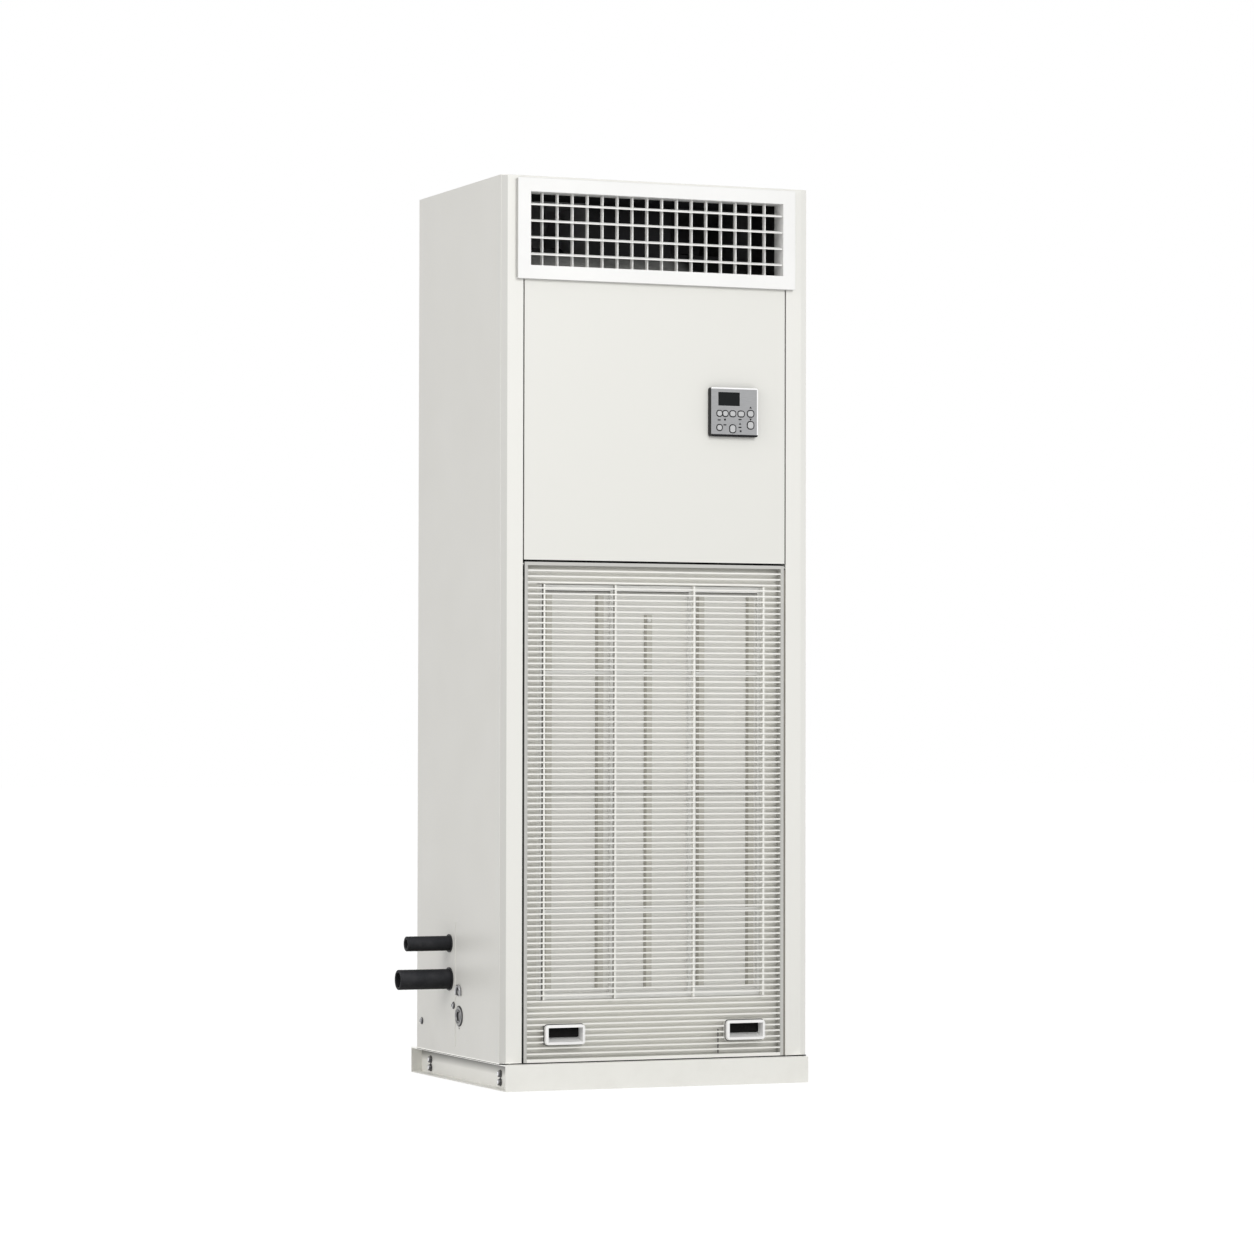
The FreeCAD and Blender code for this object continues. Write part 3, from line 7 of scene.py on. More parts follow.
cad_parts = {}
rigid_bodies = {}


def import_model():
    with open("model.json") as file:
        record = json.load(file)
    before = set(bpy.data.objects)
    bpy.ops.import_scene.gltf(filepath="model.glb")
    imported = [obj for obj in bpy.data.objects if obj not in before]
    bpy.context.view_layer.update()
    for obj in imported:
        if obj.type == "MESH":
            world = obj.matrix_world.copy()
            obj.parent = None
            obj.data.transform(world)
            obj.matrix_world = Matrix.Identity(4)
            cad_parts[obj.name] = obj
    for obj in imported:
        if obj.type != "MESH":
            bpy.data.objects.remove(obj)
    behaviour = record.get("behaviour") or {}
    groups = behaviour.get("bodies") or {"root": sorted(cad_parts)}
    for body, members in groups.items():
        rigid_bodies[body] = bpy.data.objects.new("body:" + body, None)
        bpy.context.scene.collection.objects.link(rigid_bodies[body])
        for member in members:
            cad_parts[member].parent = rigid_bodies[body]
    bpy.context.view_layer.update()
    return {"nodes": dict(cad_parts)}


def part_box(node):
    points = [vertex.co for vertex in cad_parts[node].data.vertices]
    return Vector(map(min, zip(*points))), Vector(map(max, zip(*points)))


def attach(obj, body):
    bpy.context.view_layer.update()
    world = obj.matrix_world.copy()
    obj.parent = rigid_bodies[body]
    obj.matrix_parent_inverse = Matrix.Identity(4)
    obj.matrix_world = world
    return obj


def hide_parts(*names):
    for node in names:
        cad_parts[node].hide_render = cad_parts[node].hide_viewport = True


for leftover in list(bpy.data.objects):
    bpy.data.objects.remove(leftover)
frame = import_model()
nodes = frame["nodes"]

# Studio: a wide pale floor under an even white surround, one large soft lamp in front, above
# head height, and a weaker one on the left, so the left side is a step darker.
FLOOR_REACH = 40.0
FLOOR_GREY = (0.86, 0.86, 0.86, 1)
FLOOR_ROUGHNESS = 0.9
FLOOR_GLOW = 1.12
GLOW_SHARE = 0.85
SURROUND_LIGHT = 0.52
WHITE = (1, 1, 1, 1)
LAMP_AIM = (0, 0, 0.9)
FRONT_LAMP = {"place": (0.3, -6.2, 3.4), "size": 2.6, "power": 172, "colour": (1.0, 1.0, 1.0)}
LEFT_LAMP = {"place": (-4.4, -1.6, 2.4), "size": 2.4, "power": 46, "colour": (1.0, 0.97, 0.94)}


def new_material(name):
    """A node material, which starts with a Principled shader joined to its output."""
    material = bpy.data.materials.new(name)
    material.use_nodes = True
    return material


def shader_inputs(material):
    """The inputs of a material's own Principled shader."""
    return material.node_tree.nodes["Principled BSDF"].inputs


def put(value, slot):
    """Gives a slot what another node puts out, or a plain number or colour."""
    if isinstance(value, bpy.types.NodeSocket):
        slot.id_data.links.new(value, slot)
    else:
        slot.default_value = value


def math_node(operation, first, second=0.0):
    """One sum on two values, in the first one's node tree. The second may be a number."""
    node = first.id_data.nodes.new("ShaderNodeMath")
    node.operation = operation
    put(first, node.inputs[0])
    put(second, node.inputs[1])
    return node.outputs[0]


def ranged(value, span, ends):
    """A value carried straight from one span to another, and held at its ends."""
    node = value.id_data.nodes.new("ShaderNodeMapRange")
    put(value, node.inputs["Value"])
    for label, number in zip(("From Min", "From Max", "To Min", "To Max"), (*span, *ends)):
        put(number, node.inputs[label])
    return node.outputs["Result"]


def seen_directly(tree):
    """1 on rays from the camera, and on mirrored or refracted ones, otherwise 0."""
    path = tree.nodes.new("ShaderNodeLightPath").outputs
    mirrored = math_node("MAXIMUM", path["Is Glossy Ray"], path["Is Transmission Ray"])
    return math_node("MAXIMUM", path["Is Camera Ray"], mirrored)


world = bpy.data.worlds.new("white surround")
bpy.context.scene.world = world
world.use_nodes = True
backdrop = world.node_tree.nodes["Background"].inputs
put(WHITE, backdrop["Color"])
put(ranged(seen_directly(world.node_tree), (0, 1), (SURROUND_LIGHT, 1)), backdrop["Strength"])

floor_mesh = bpy.data.meshes.new("floor")
floor_corners = FLOOR_REACH * np.array(((-1, -1, 0), (1, -1, 0), (1, 1, 0), (-1, 1, 0)))
floor_mesh.from_pydata(floor_corners.tolist(), [], [(0, 1, 2, 3)])
floor = bpy.data.objects.new("floor", floor_mesh)
bpy.context.scene.collection.objects.link(floor)
floor_paint = new_material("pale floor")
put(FLOOR_GREY, shader_inputs(floor_paint)["Base Color"])
put(FLOOR_ROUGHNESS, shader_inputs(floor_paint)["Roughness"])
put(0.0, shader_inputs(floor_paint)["Specular IOR Level"])
tree = floor_paint.node_tree
glow = tree.nodes.new("ShaderNodeEmission")
put(FLOOR_GLOW, glow.inputs["Strength"])
blend = tree.nodes.new("ShaderNodeMixShader")
put(math_node("MULTIPLY", seen_directly(tree), GLOW_SHARE), blend.inputs["Fac"])
put(tree.nodes["Principled BSDF"].outputs["BSDF"], blend.inputs[1])
put(glow.outputs["Emission"], blend.inputs[2])
put(blend.outputs["Shader"], tree.nodes["Material Output"].inputs["Surface"])
floor_mesh.materials.append(floor_paint)


def soft_lamp(name, place, size, power, colour):
    """A square area lamp that faces the middle of the cabinet."""
    lamp = bpy.data.lights.new(name, "AREA")
    lamp.size = size
    lamp.energy = power
    lamp.color = colour
    holder = bpy.data.objects.new(name, lamp)
    holder.location = place
    holder.rotation_mode = "QUATERNION"
    holder.rotation_quaternion = (Vector(LAMP_AIM) - Vector(place)).to_track_quat("-Z", "Y")
    bpy.context.scene.collection.objects.link(holder)


soft_lamp("front lamp", **FRONT_LAMP)
soft_lamp("left lamp", **LEFT_LAMP)

# Camera: the photograph's place and lens, found by fitting the cabinet's corners.
CAMERA_PLACE = (-3.6426, -8.8249, 0.7658)
CAMERA_HEADING = math.radians(22.676)
CAMERA_PITCH = math.radians(1.231)
CAMERA_ROLL = math.radians(0.110)
CAMERA_LENS = 126.83
CAMERA_SENSOR = 36.0
CAMERA_REACH = 200.0
look = Vector((
    math.sin(CAMERA_HEADING) * math.cos(CAMERA_PITCH),
    math.cos(CAMERA_HEADING) * math.cos(CAMERA_PITCH),
    math.sin(CAMERA_PITCH),
))
camera_data = bpy.data.cameras.new("camera")
camera_data.lens = CAMERA_LENS
camera_data.sensor_width = CAMERA_SENSOR
camera_data.clip_end = CAMERA_REACH
camera = bpy.data.objects.new("camera", camera_data)
camera.location = CAMERA_PLACE
camera.rotation_mode = "QUATERNION"
camera.rotation_quaternion = Quaternion(look, -CAMERA_ROLL) @ look.to_track_quat("-Z", "Y")
bpy.context.scene.collection.objects.link(camera)
bpy.context.scene.camera = camera

# Shell: folded steel sheet with a white powder coat, satin, with the fine ripple that such
# paint cures to. The panels are screwed to each other through their returns. The left panel's
# front fold carries painted shade, and its foot a painted highlight, brighter and metallic.
PAINT_WHITE = (0.806, 0.802, 0.764, 1)
PANEL_WHITE = (0.755, 0.752, 0.712, 1)
LIT_INNER_WHITE = (0.90, 0.895, 0.855, 1)
SHELL_SOIL = 0.05
CLOUD_WHITE = (0.755, 0.748, 0.710, 1)
CLOUD_SCALE = 2.2
CLOUD_SHARE = 0.35
SOIL_BROWN = (0.47, 0.44, 0.38, 1)
SOIL_HEIGHT = (0.02, 0.30)
SOIL_SCALE = 26.0
SOIL_SPAN = (0.42, 0.75)
SATIN_SCALE = 9.0
SATIN = (0.36, 0.46)
RIPPLE_SCALE = 420.0
COAT_RELIEF = (0.25, 0.0004)
NOISE_SPAN = (0.3, 0.7)
FOLD_ACROSS = 0.0138
FOLD_BACK = 0.0037
FOLD_BLEND = 0.0004
FOLD_SHADE = 0.70
HEM = 0.0030
HEM_HIGHLIGHT = 1.2


def new_group(name, **inputs):
    """A shader node group that takes named colours and values, and puts out a finish."""
    group = bpy.data.node_groups.new(name, "ShaderNodeTree")
    for label, start in inputs.items():
        kind = "NodeSocketColor" if isinstance(start, tuple) else "NodeSocketFloat"
        group.interface.new_socket(label, in_out="INPUT", socket_type=kind).default_value = start
    for label, kind in (("Colour", "Color"), ("Roughness", "Float"), ("Height", "Float")):
        group.interface.new_socket(label, in_out="OUTPUT", socket_type="NodeSocket" + kind)
    return group, group.nodes.new("NodeGroupInput").outputs


def give(colour, roughness, height):
    """Joins a group's finish to what it puts out."""
    given = colour.id_data.nodes.new("NodeGroupOutput").inputs
    put(colour, given["Colour"])
    put(roughness, given["Roughness"])
    put(height, given["Height"])


def object_place(tree):
    """Object coordinates, in metres."""
    return tree.nodes.new("ShaderNodeTexCoord").outputs["Object"]


def noise_at(tree, scale, detail, stretch=(1, 1, 1)):
    """A noise texture on Object coordinates, with scale in waves a metre."""
    turn = tree.nodes.new("ShaderNodeMapping")
    put(object_place(tree), turn.inputs["Vector"])
    put(stretch, turn.inputs["Scale"])
    noise = tree.nodes.new("ShaderNodeTexNoise")
    put(turn.outputs["Vector"], noise.inputs["Vector"])
    put(scale, noise.inputs["Scale"])
    put(detail, noise.inputs["Detail"])
    return noise.outputs["Fac"]


def split_axes(vector):
    """A vector's X, Y and Z as three values."""
    axes = vector.id_data.nodes.new("ShaderNodeSeparateXYZ")
    put(vector, axes.inputs["Vector"])
    return axes.outputs


def object_axes(tree):
    """Object coordinates as three values."""
    return split_axes(object_place(tree))


def mixed(share, first, second):
    """Two colours mixed by a share."""
    node = share.id_data.nodes.new("ShaderNodeMix")
    node.data_type = "RGBA"
    for label, value in (("Factor", share), ("A", first), ("B", second)):
        put(value, node.inputs[label])
    return node.outputs["Result"]


def scaled(colour, amount):
    """A colour made lighter or darker by an amount."""
    node = colour.id_data.nodes.new("ShaderNodeVectorMath")
    node.operation = "SCALE"
    put(colour, node.inputs[0])
    put(amount, node.inputs["Scale"])
    return node.outputs["Vector"]


coat_group, taken = new_group("powder coat", Colour=PAINT_WHITE, Soil=0.0)
cloud = ranged(noise_at(coat_group, CLOUD_SCALE, 3), NOISE_SPAN, (0, CLOUD_SHARE))
clouded = mixed(cloud, taken["Colour"], CLOUD_WHITE)
near_floor = ranged(object_axes(coat_group)["Z"], SOIL_HEIGHT, (1, 0))
patches = ranged(noise_at(coat_group, SOIL_SCALE, 6), SOIL_SPAN, (0, 1))
soiled = math_node("MULTIPLY", near_floor, patches)
soil_share = math_node("MULTIPLY", soiled, taken["Soil"])
give(
    colour=mixed(soil_share, clouded, SOIL_BROWN),
    roughness=ranged(noise_at(coat_group, SATIN_SCALE, 4), NOISE_SPAN, SATIN),
    height=noise_at(coat_group, RIPPLE_SCALE, 2),
)


def finish(name, group, relief, shine=0.5, metallic=0.0, **values):
    """
    A material whose colour, roughness and small relief come from a node group. The relief is a
    bump's strength and depth, and the shine is the strength of its mirrored light.
    """
    material = new_material(name)
    tree = material.node_tree
    shader = shader_inputs(material)
    put(shine, shader["Specular IOR Level"])
    put(metallic, shader["Metallic"])
    detail = tree.nodes.new("ShaderNodeGroup")
    detail.node_tree = group
    for label, value in values.items():
        put(value, detail.inputs[label])
    bump = tree.nodes.new("ShaderNodeBump")
    put(relief[0], bump.inputs["Strength"])
    put(relief[1], bump.inputs["Distance"])
    put(detail.outputs["Height"], bump.inputs["Height"])
    put(detail.outputs["Colour"], shader["Base Color"])
    put(detail.outputs["Roughness"], shader["Roughness"])
    put(bump.outputs["Normal"], shader["Normal"])
    return material


def coated(name, colour, soil=0.0, relief=COAT_RELIEF):
    """A powder coat in one colour, with a share of soil near the floor."""
    return finish(name, coat_group, relief, Colour=colour, Soil=soil)


def retint(material, amount):
    """Makes a material lighter or darker by an amount that changes over the surface."""
    colour = shader_inputs(material)["Base Color"]
    put(scaled(colour.links[0].from_socket, amount), colour)


def mix_in_shade(material, share, shade_colour):
    """Mixes a painted shade into a material by a share that changes over the surface."""
    colour = shader_inputs(material)["Base Color"]
    put(mixed(share, colour.links[0].from_socket, shade_colour), colour)


def dress(material, *names):
    """Gives CAD nodes a material in place of the one that they came with."""
    for name in names:
        for slot in nodes[name].material_slots:
            slot.material = material


shell_paint = coated("white powder coat", PAINT_WHITE, SHELL_SOIL)
dress(shell_paint, "right_side_panel", "rear_panel", "top_panel", "pipe_plate")
# The bulkhead is painted paler than the shell, painted light for the shade it lies in behind the grille.
dress(coated("inner coat with painted light", LIT_INNER_WHITE), "intake_bulkhead")
dress(coated("panel coat", PANEL_WHITE), "upper_front_panel")
left_paint = coated("left powder coat", PAINT_WHITE, SHELL_SOIL)
left_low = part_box("left_side_panel")[0]
fold_x = left_low.x + FOLD_ACROSS
fold_y = left_low.y + FOLD_BACK
hem_z = left_low.z + HEM
left_place = object_axes(left_paint.node_tree)
on_fold = ranged(left_place["X"], (fold_x - FOLD_BLEND, fold_x), (1, 0))
at_front = ranged(left_place["Y"], (fold_y, fold_y + FOLD_BLEND), (1, 0))
hem_highlight_mask = ranged(left_place["Z"], (hem_z, hem_z + FOLD_BLEND), (1, 0))
fold_shade_mask = math_node("MULTIPLY", on_fold, at_front)
# Painted shade darkens the front fold; a painted highlight brightens the foot and makes it metallic.
retint(left_paint, ranged(fold_shade_mask, (0, 1), (1, FOLD_SHADE)))
retint(left_paint, ranged(hem_highlight_mask, (0, 1), (1, HEM_HIGHLIGHT)))
put(hem_highlight_mask, shader_inputs(left_paint)["Metallic"])
dress(left_paint, "left_side_panel")

# Base: pressed steel channels with the same coat, a little dustier. The side rails are painted
# paler as painted light, with painted shadow below their flanges, and rubbed bright along the edge
# of them. Zinc plated hexagon bolts on black washers hold the channels together at the corners.
BASE_WHITE = (0.835, 0.831, 0.787, 1)
BASE_SOIL = 0.08
LIT_RAIL_WHITE = (0.985, 0.98, 0.94, 1)
RAIL_SOIL = 0.04
BASE_RELIEF = (0.3, 0.0005)
FLANGE_SHADOW = (0.052, 0.050, 0.045, 1)
SHADOW_START = 0.50
SHADOW_FRONT = 0.97
SHADOW_REAR = 0.93
RAIL_EDGE = 0.0058
RAIL_BLEND = 0.0003
RAIL_RUBBED = 0.0032
dress(coated("base coat", BASE_WHITE, BASE_SOIL, BASE_RELIEF), "base_cross_rails")
# The side rails' coat is paler than the cross rails', painted light for the shade under the cabinet.
rail_paint = coated("rail coat with painted light and shadow", LIT_RAIL_WHITE, RAIL_SOIL, BASE_RELIEF)
rail_low, rail_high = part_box("base_side_rails")
clean_edge = rail_high.z - RAIL_EDGE
rubbed_edge = rail_high.z - RAIL_RUBBED
rail_place = object_axes(rail_paint.node_tree)
# Painted shadow under the flanges, fading down the web and a little weaker towards the rear.
shadow_fade = ranged(rail_place["Z"], (rail_high.z * SHADOW_START, clean_edge), (0, 1))
on_web = ranged(rail_place["Z"], (clean_edge, clean_edge + RAIL_BLEND), (1, 0))
flange_shadow_mask = math_node("MULTIPLY", shadow_fade, on_web)
to_front = ranged(rail_place["Y"], (rail_low.y, rail_high.y), (SHADOW_FRONT, SHADOW_REAR))
mix_in_shade(rail_paint, math_node("MULTIPLY", flange_shadow_mask, to_front), FLANGE_SHADOW)
on_edge = ranged(rail_place["Z"], (rubbed_edge, rubbed_edge + RAIL_BLEND), (0, 1))
put(on_edge, shader_inputs(rail_paint)["Metallic"])
dress(rail_paint, "base_side_rails")

# The lit colour of plated crowns and the painted shade of their flanks.
LIT_ZINC = (0.95, 0.95, 0.96, 1)
SHADED_ZINC = (0.14, 0.14, 0.146, 1)
LIT_CROWN_SPAN = (0.84, 0.99)
LIT_TOP_SPAN = (0.3, 0.9)
LIT_TOP_SHARE = 0.4
RUB_SCALE = 500.0
RUB_TONE = (0.8, 1.1)
RUB_ROUGHNESS = (0.42, 0.24)
PLATING_GRAIN = 900.0
METAL_RELIEF = (0.15, 0.0002)
WASHER_BLACK = (0.070, 0.070, 0.072, 1)
FLOW_SCALE = 6.0
FLOW_TONE = (0.95, 1.0)
UNEVEN_SCALE = 60.0
UNEVEN = (-0.05, 0.05)
SKIN_SCALE = 1100.0
SKIN_RELIEF = (0.2, 0.0002)
SMOOTH_BELOW = math.radians(32)
AROUND = 36
BOLT_SHANK = 0.0040
BOLT_CORNER = 0.0080
BOLT_HEAD = 0.0070
BOLT_EDGE = 0.0012
HEAD_CORNER = BOLT_CORNER * 0.93
CROWN_RING = BOLT_CORNER * 0.66
CROWN_FLAT = BOLT_CORNER * 0.56
NUT_END = BOLT_CORNER * 0.9
CROWN_HEXAGON = 0.1
NUT_HEXAGON = 0.3
WASHER_RADIUS = 0.0086
WASHER_FLAT = WASHER_RADIUS * 0.95
WASHER = 0.0012
WASHER_EDGE = WASHER * 0.6
RAIL_STACK = 0.0046


def ring_faces(rings, around, closed):
    """Quads between neighbouring rings of points. Open ends get a cap, closed ones run back to the start."""
    rows = np.arange(rings if closed else rings - 1)
    row, step = np.meshgrid(rows, np.arange(around), indexing="ij")
    after = (step + 1) % around
    above = (row + 1) % rings
    corners = (row * around + step, row * around + after, above * around + after, above * around + step)
    faces = np.stack(corners, -1).reshape(-1, 4).tolist()
    if not closed:
        faces.append(list(range(around))[::-1])
        faces.append(list(range((rings - 1) * around, rings * around)))
    return faces


def outward(points, faces):
    """The faces as they are, or all turned over where the volume that they enclose is negative."""
    volume = 0.0
    for face in faces:
        ring = points[face]
        volume += np.sum(np.cross(ring[1:-1], ring[2:]) @ ring[0])
    return faces if volume > 0 else [face[::-1] for face in faces]


def joined(shapes):
    """Several shapes of points and faces as one."""
    points = []
    faces = []
    start = 0
    for shape_points, shape_faces in shapes:
        flat = shape_points.reshape(-1, 3)
        faces += [[start + index for index in face] for face in outward(flat, shape_faces)]
        points.append(flat)
        start += len(flat)
    return np.concatenate(points), faces


def new_piece(name, shapes, material, body, smooth=True):
    """A new object at the origin, made of shapes, that moves with a body."""
    points, faces = joined(shapes)
    mesh = bpy.data.meshes.new(name)
    mesh.from_pydata(points.tolist(), [], faces)
    mesh.materials.append(material)
    mesh.polygons.foreach_set("use_smooth", np.full(len(mesh.polygons), smooth))
    if smooth:
        mesh.set_sharp_from_angle(angle=SMOOTH_BELOW)
    piece = bpy.data.objects.new(name, mesh)
    bpy.context.scene.collection.objects.link(piece)
    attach(piece, body)
    return piece


def turned(start, axis, profile, closed):
    """
    A profile turned round a line. Each of its rows is a distance along the axis and a radius, and
    where a ring isn't round, a share of a hexagon that has that radius at its corners.
    """
    along = Vector(axis)
    side = along.orthogonal().normalized()
    other = along.cross(side)
    angle = np.linspace(0, math.tau, AROUND, endpoint=False)
    hexagon = math.cos(math.pi / 6) / np.cos(np.mod(angle, math.pi / 3) - math.pi / 6)
    distance, radius, share = np.array([(*row, 0)[:3] for row in profile]).T
    reach = radius[:, None] * (1 + share[:, None] * (hexagon[None, :] - 1))
    rings = np.array(start) + distance[:, None, None] * np.array(along)
    rings = rings + (reach * np.cos(angle))[..., None] * np.array(side)
    rings = rings + (reach * np.sin(angle))[..., None] * np.array(other)
    return rings, ring_faces(len(profile), AROUND, closed)


def normal_axes(tree):
    """The way that the surface faces, as three values."""
    return split_axes(tree.nodes.new("ShaderNodeNewGeometry").outputs["Normal"])


# Painted light and shade: faces turned out along X, towards the rear or upwards take the lit colour, the rest
# the darker flank colour; the rub noise is real wear.
plating_group, taken = new_group("plating with painted light", Colour=LIT_ZINC, Flank=SHADED_ZINC)
facing = normal_axes(plating_group)
sideways = math_node("ABSOLUTE", facing["X"])
outwards = math_node("MAXIMUM", sideways, facing["Y"])
crown = ranged(outwards, LIT_CROWN_SPAN, (0, 1))
upper = ranged(facing["Z"], LIT_TOP_SPAN, (0, LIT_TOP_SHARE))
bright = math_node("MAXIMUM", crown, upper)
lit_and_shaded_plate = mixed(bright, taken["Flank"], taken["Colour"])
rub = ranged(noise_at(plating_group, RUB_SCALE, 3), NOISE_SPAN, RUB_TONE)
give(
    colour=scaled(lit_and_shaded_plate, rub),
    roughness=ranged(rub, RUB_TONE, RUB_ROUGHNESS),
    height=noise_at(plating_group, PLATING_GRAIN, 2),
)
zinc_plate = finish("zinc plate", plating_group, METAL_RELIEF, metallic=1.0, Colour=LIT_ZINC)

skin_group, taken = new_group("moulded skin", Colour=WHITE, Roughness=0.4)
flow = ranged(noise_at(skin_group, FLOW_SCALE, 4), NOISE_SPAN, FLOW_TONE)
uneven = ranged(noise_at(skin_group, UNEVEN_SCALE, 3), NOISE_SPAN, UNEVEN)
give(
    colour=scaled(taken["Colour"], flow),
    roughness=math_node("ADD", taken["Roughness"], uneven),
    height=noise_at(skin_group, SKIN_SCALE, 2),
)


def moulded(name, colour, roughness, shine=0.5, relief=SKIN_RELIEF):
    """A moulded plastic, rubber or foam in one colour."""
    return finish(name, skin_group, relief, shine, Colour=colour, Roughness=roughness)


# The bolt's section starts at its nut, inside the rail, and ends at the flat of its crown.
nut_face = -RAIL_STACK - BOLT_HEAD
bolt_profile = [
    (nut_face, NUT_END, NUT_HEXAGON),
    (nut_face + BOLT_EDGE, BOLT_CORNER, 1),
    (-RAIL_STACK, BOLT_CORNER, 1),
    (-RAIL_STACK, BOLT_SHANK),
    (WASHER, BOLT_SHANK),
    (WASHER, HEAD_CORNER, 1),
    (BOLT_HEAD - 2 * BOLT_EDGE, HEAD_CORNER, 1),
    (BOLT_HEAD - BOLT_EDGE / 3, CROWN_RING, CROWN_HEXAGON),
    (BOLT_HEAD, CROWN_FLAT),
]
washer_profile = [
    (0, BOLT_SHANK),
    (0, WASHER_RADIUS),
    (WASHER_EDGE, WASHER_RADIUS),
    (WASHER, WASHER_FLAT),
    (WASHER, BOLT_SHANK),
]
bolt_low, bolt_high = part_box("base_bolts")
bolt_web = bolt_high.x - BOLT_HEAD
half_flats = BOLT_CORNER * math.cos(math.pi / 6)
bolts = []
washers = []
for side in (-1, 1):
    for y in (bolt_low.y + BOLT_CORNER, bolt_high.y - BOLT_CORNER):
        for z in (bolt_low.z + half_flats, bolt_high.z - half_flats):
            seat = (side * bolt_web, y, z)
            bolts.append(turned(seat, (side, 0, 0), bolt_profile, False))
            washers.append(turned(seat, (side, 0, 0), washer_profile, True))
bolt_heads = new_piece("bolt_heads", bolts, zinc_plate, "cabinet")
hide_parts("base_bolts")
washer_plastic = moulded("washer black", WASHER_BLACK, roughness=0.5)
new_piece("bolt_washers", washers, washer_plastic, "cabinet")

# Outlet flange and vanes: white moulded plastic with a fine eroded skin, a little brighter
# and cooler than the paint. The vanes turn on pins in the flange's collar.
MOULDED_WHITE = (0.870, 0.870, 0.858, 1)
VANE_WHITE = (0.97, 0.97, 0.95, 1)
FLANGE_EDGE = 0.0012
FLANGE_SHADE = (0.50, 0.50, 0.485, 1)
outlet_plastic = moulded("outlet plastic", MOULDED_WHITE, roughness=0.42)
outlet_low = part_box("outlet_frame")[0]
outlet_place = object_axes(outlet_plastic.node_tree)
# Painted shade: a narrow grey band along the flange's left edge and its foot.
at_left = ranged(outlet_place["X"], (outlet_low.x, outlet_low.x + FLANGE_EDGE), (1, 0))
at_foot = ranged(outlet_place["Z"], (outlet_low.z, outlet_low.z + FLANGE_EDGE), (1, 0))
mix_in_shade(outlet_plastic, math_node("MAXIMUM", at_left, at_foot), FLANGE_SHADE)
dress(outlet_plastic, "outlet_frame")
vane_plastic = moulded("vane plastic", VANE_WHITE, roughness=0.36, shine=0.8)
dress(vane_plastic, *[name for name in nodes if "_vane_" in name])

# Joint strips: black foam on the columns' inner walls and under the upper panel, where it closes
# the gaps round the front panels, and a thin bead round the cabinet's foot; their black is painted
# shade for the gaps. The strip on the right of the grille is paler, painted light in its deep shade.
# A pale sheet round the filter closes the space beside the columns.
GAP_SHADE_BLACK = (0.012, 0.012, 0.012, 1)
LIT_FOAM = (0.30, 0.285, 0.25, 1)
SURROUND_WHITE = (0.81, 0.80, 0.75, 1)
COLUMN_WIDTH = 0.049
LEDGE_WIDTH = 0.0085
LEDGE_DEPTH = 0.022
LEDGE_SHEET = 0.0015
STRIP_BEHIND_FRONT = 0.004
STRIP_CLEAR = 0.0003
GRILLE_GAP = 0.0045
HINGE_ROOM = 0.010
PANEL_STRIP = 0.0014
BLIND_FRONT = 0.0158
BLIND_REAR = 0.0200
BLIND_DROP = 0.0070
FOOT_BEAD = 0.0022
BEAD_PROUD = 0.0003
SURROUND_GAP = 0.0015
SURROUND_SHEET = 0.0010


def block(x, y, z):
    """A closed box between two ends along each axis: four points round its foot and four round its head."""
    left, right = sorted(x)
    across = np.array((left, right, right, left))
    deep = np.array((y[0], y[0], y[1], y[1]))
    rings = [np.stack((across, deep, np.full(4, height)), -1) for height in z]
    return np.stack(rings), ring_faces(2, 4, False)


side_low, side_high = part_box("right_side_panel")
panel_low, panel_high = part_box("upper_front_panel")
grille_low, grille_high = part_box("intake_grille")
filter_low, filter_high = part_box("filter_frame")
rear_low, rear_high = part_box("rear_panel")
front = side_low.y
bay = side_high.x - COLUMN_WIDTH
ledge = front + LEDGE_DEPTH
below_panel = panel_low.z - PANEL_STRIP
strip_front = front + STRIP_BEHIND_FRONT
full_width = (-side_high.x, side_high.x)
strips = [
    block((-panel_high.x, panel_high.x), (front + STRIP_BEHIND_FRONT / 4, ledge), (below_panel, panel_low.z)),
    block((-bay, bay), (front + BLIND_FRONT, front + BLIND_REAR), (panel_low.z - BLIND_DROP, below_panel)),
]
for near, far in ((front - BEAD_PROUD, front), (rear_high.y, rear_high.y + BEAD_PROUD)):
    strips.append(block(full_width, (near, far), (side_low.z, side_low.z + FOOT_BEAD)))
grille_strips = []
for side in (-1, 1):
    beside_panel = (side * (panel_high.x + STRIP_CLEAR), side * bay)
    strips.append(block(beside_panel, (strip_front, ledge), (panel_low.z, panel_high.z)))
    beside_cabinet = (side * side_high.x, side * (side_high.x + BEAD_PROUD))
    strips.append(block(beside_cabinet, (front, rear_high.y), (side_low.z, side_low.z + FOOT_BEAD / 2)))
    beside_grille = (side * (bay - GRILLE_GAP + STRIP_CLEAR), side * bay)
    grille_tall = (grille_low.z, grille_high.z - HINGE_ROOM)
    grille_strips.append(block(beside_grille, (strip_front, grille_high.y), grille_tall))
left_strip, right_strip = grille_strips
gap_shade_foam = moulded("gap shade foam", GAP_SHADE_BLACK, roughness=0.8, shine=0.1)
new_piece("joint_shade_strips", strips + [left_strip], gap_shade_foam, "cabinet", False)
lit_foam = moulded("lit foam", LIT_FOAM, roughness=0.8, shine=0.1)
new_piece("grille_strip", [right_strip], lit_foam, "cabinet", False)
sheet_front = ledge + LEDGE_SHEET + STRIP_CLEAR
sheet_deep = (sheet_front, sheet_front + SURROUND_SHEET)
sheet_edge = bay - LEDGE_WIDTH / 2
hole_foot = filter_low.z - SURROUND_GAP
hole_head = filter_high.z + SURROUND_GAP
sheets = []
for tall in ((grille_low.z, hole_foot), (hole_head, grille_high.z)):
    sheets.append(block((-sheet_edge, sheet_edge), sheet_deep, tall))
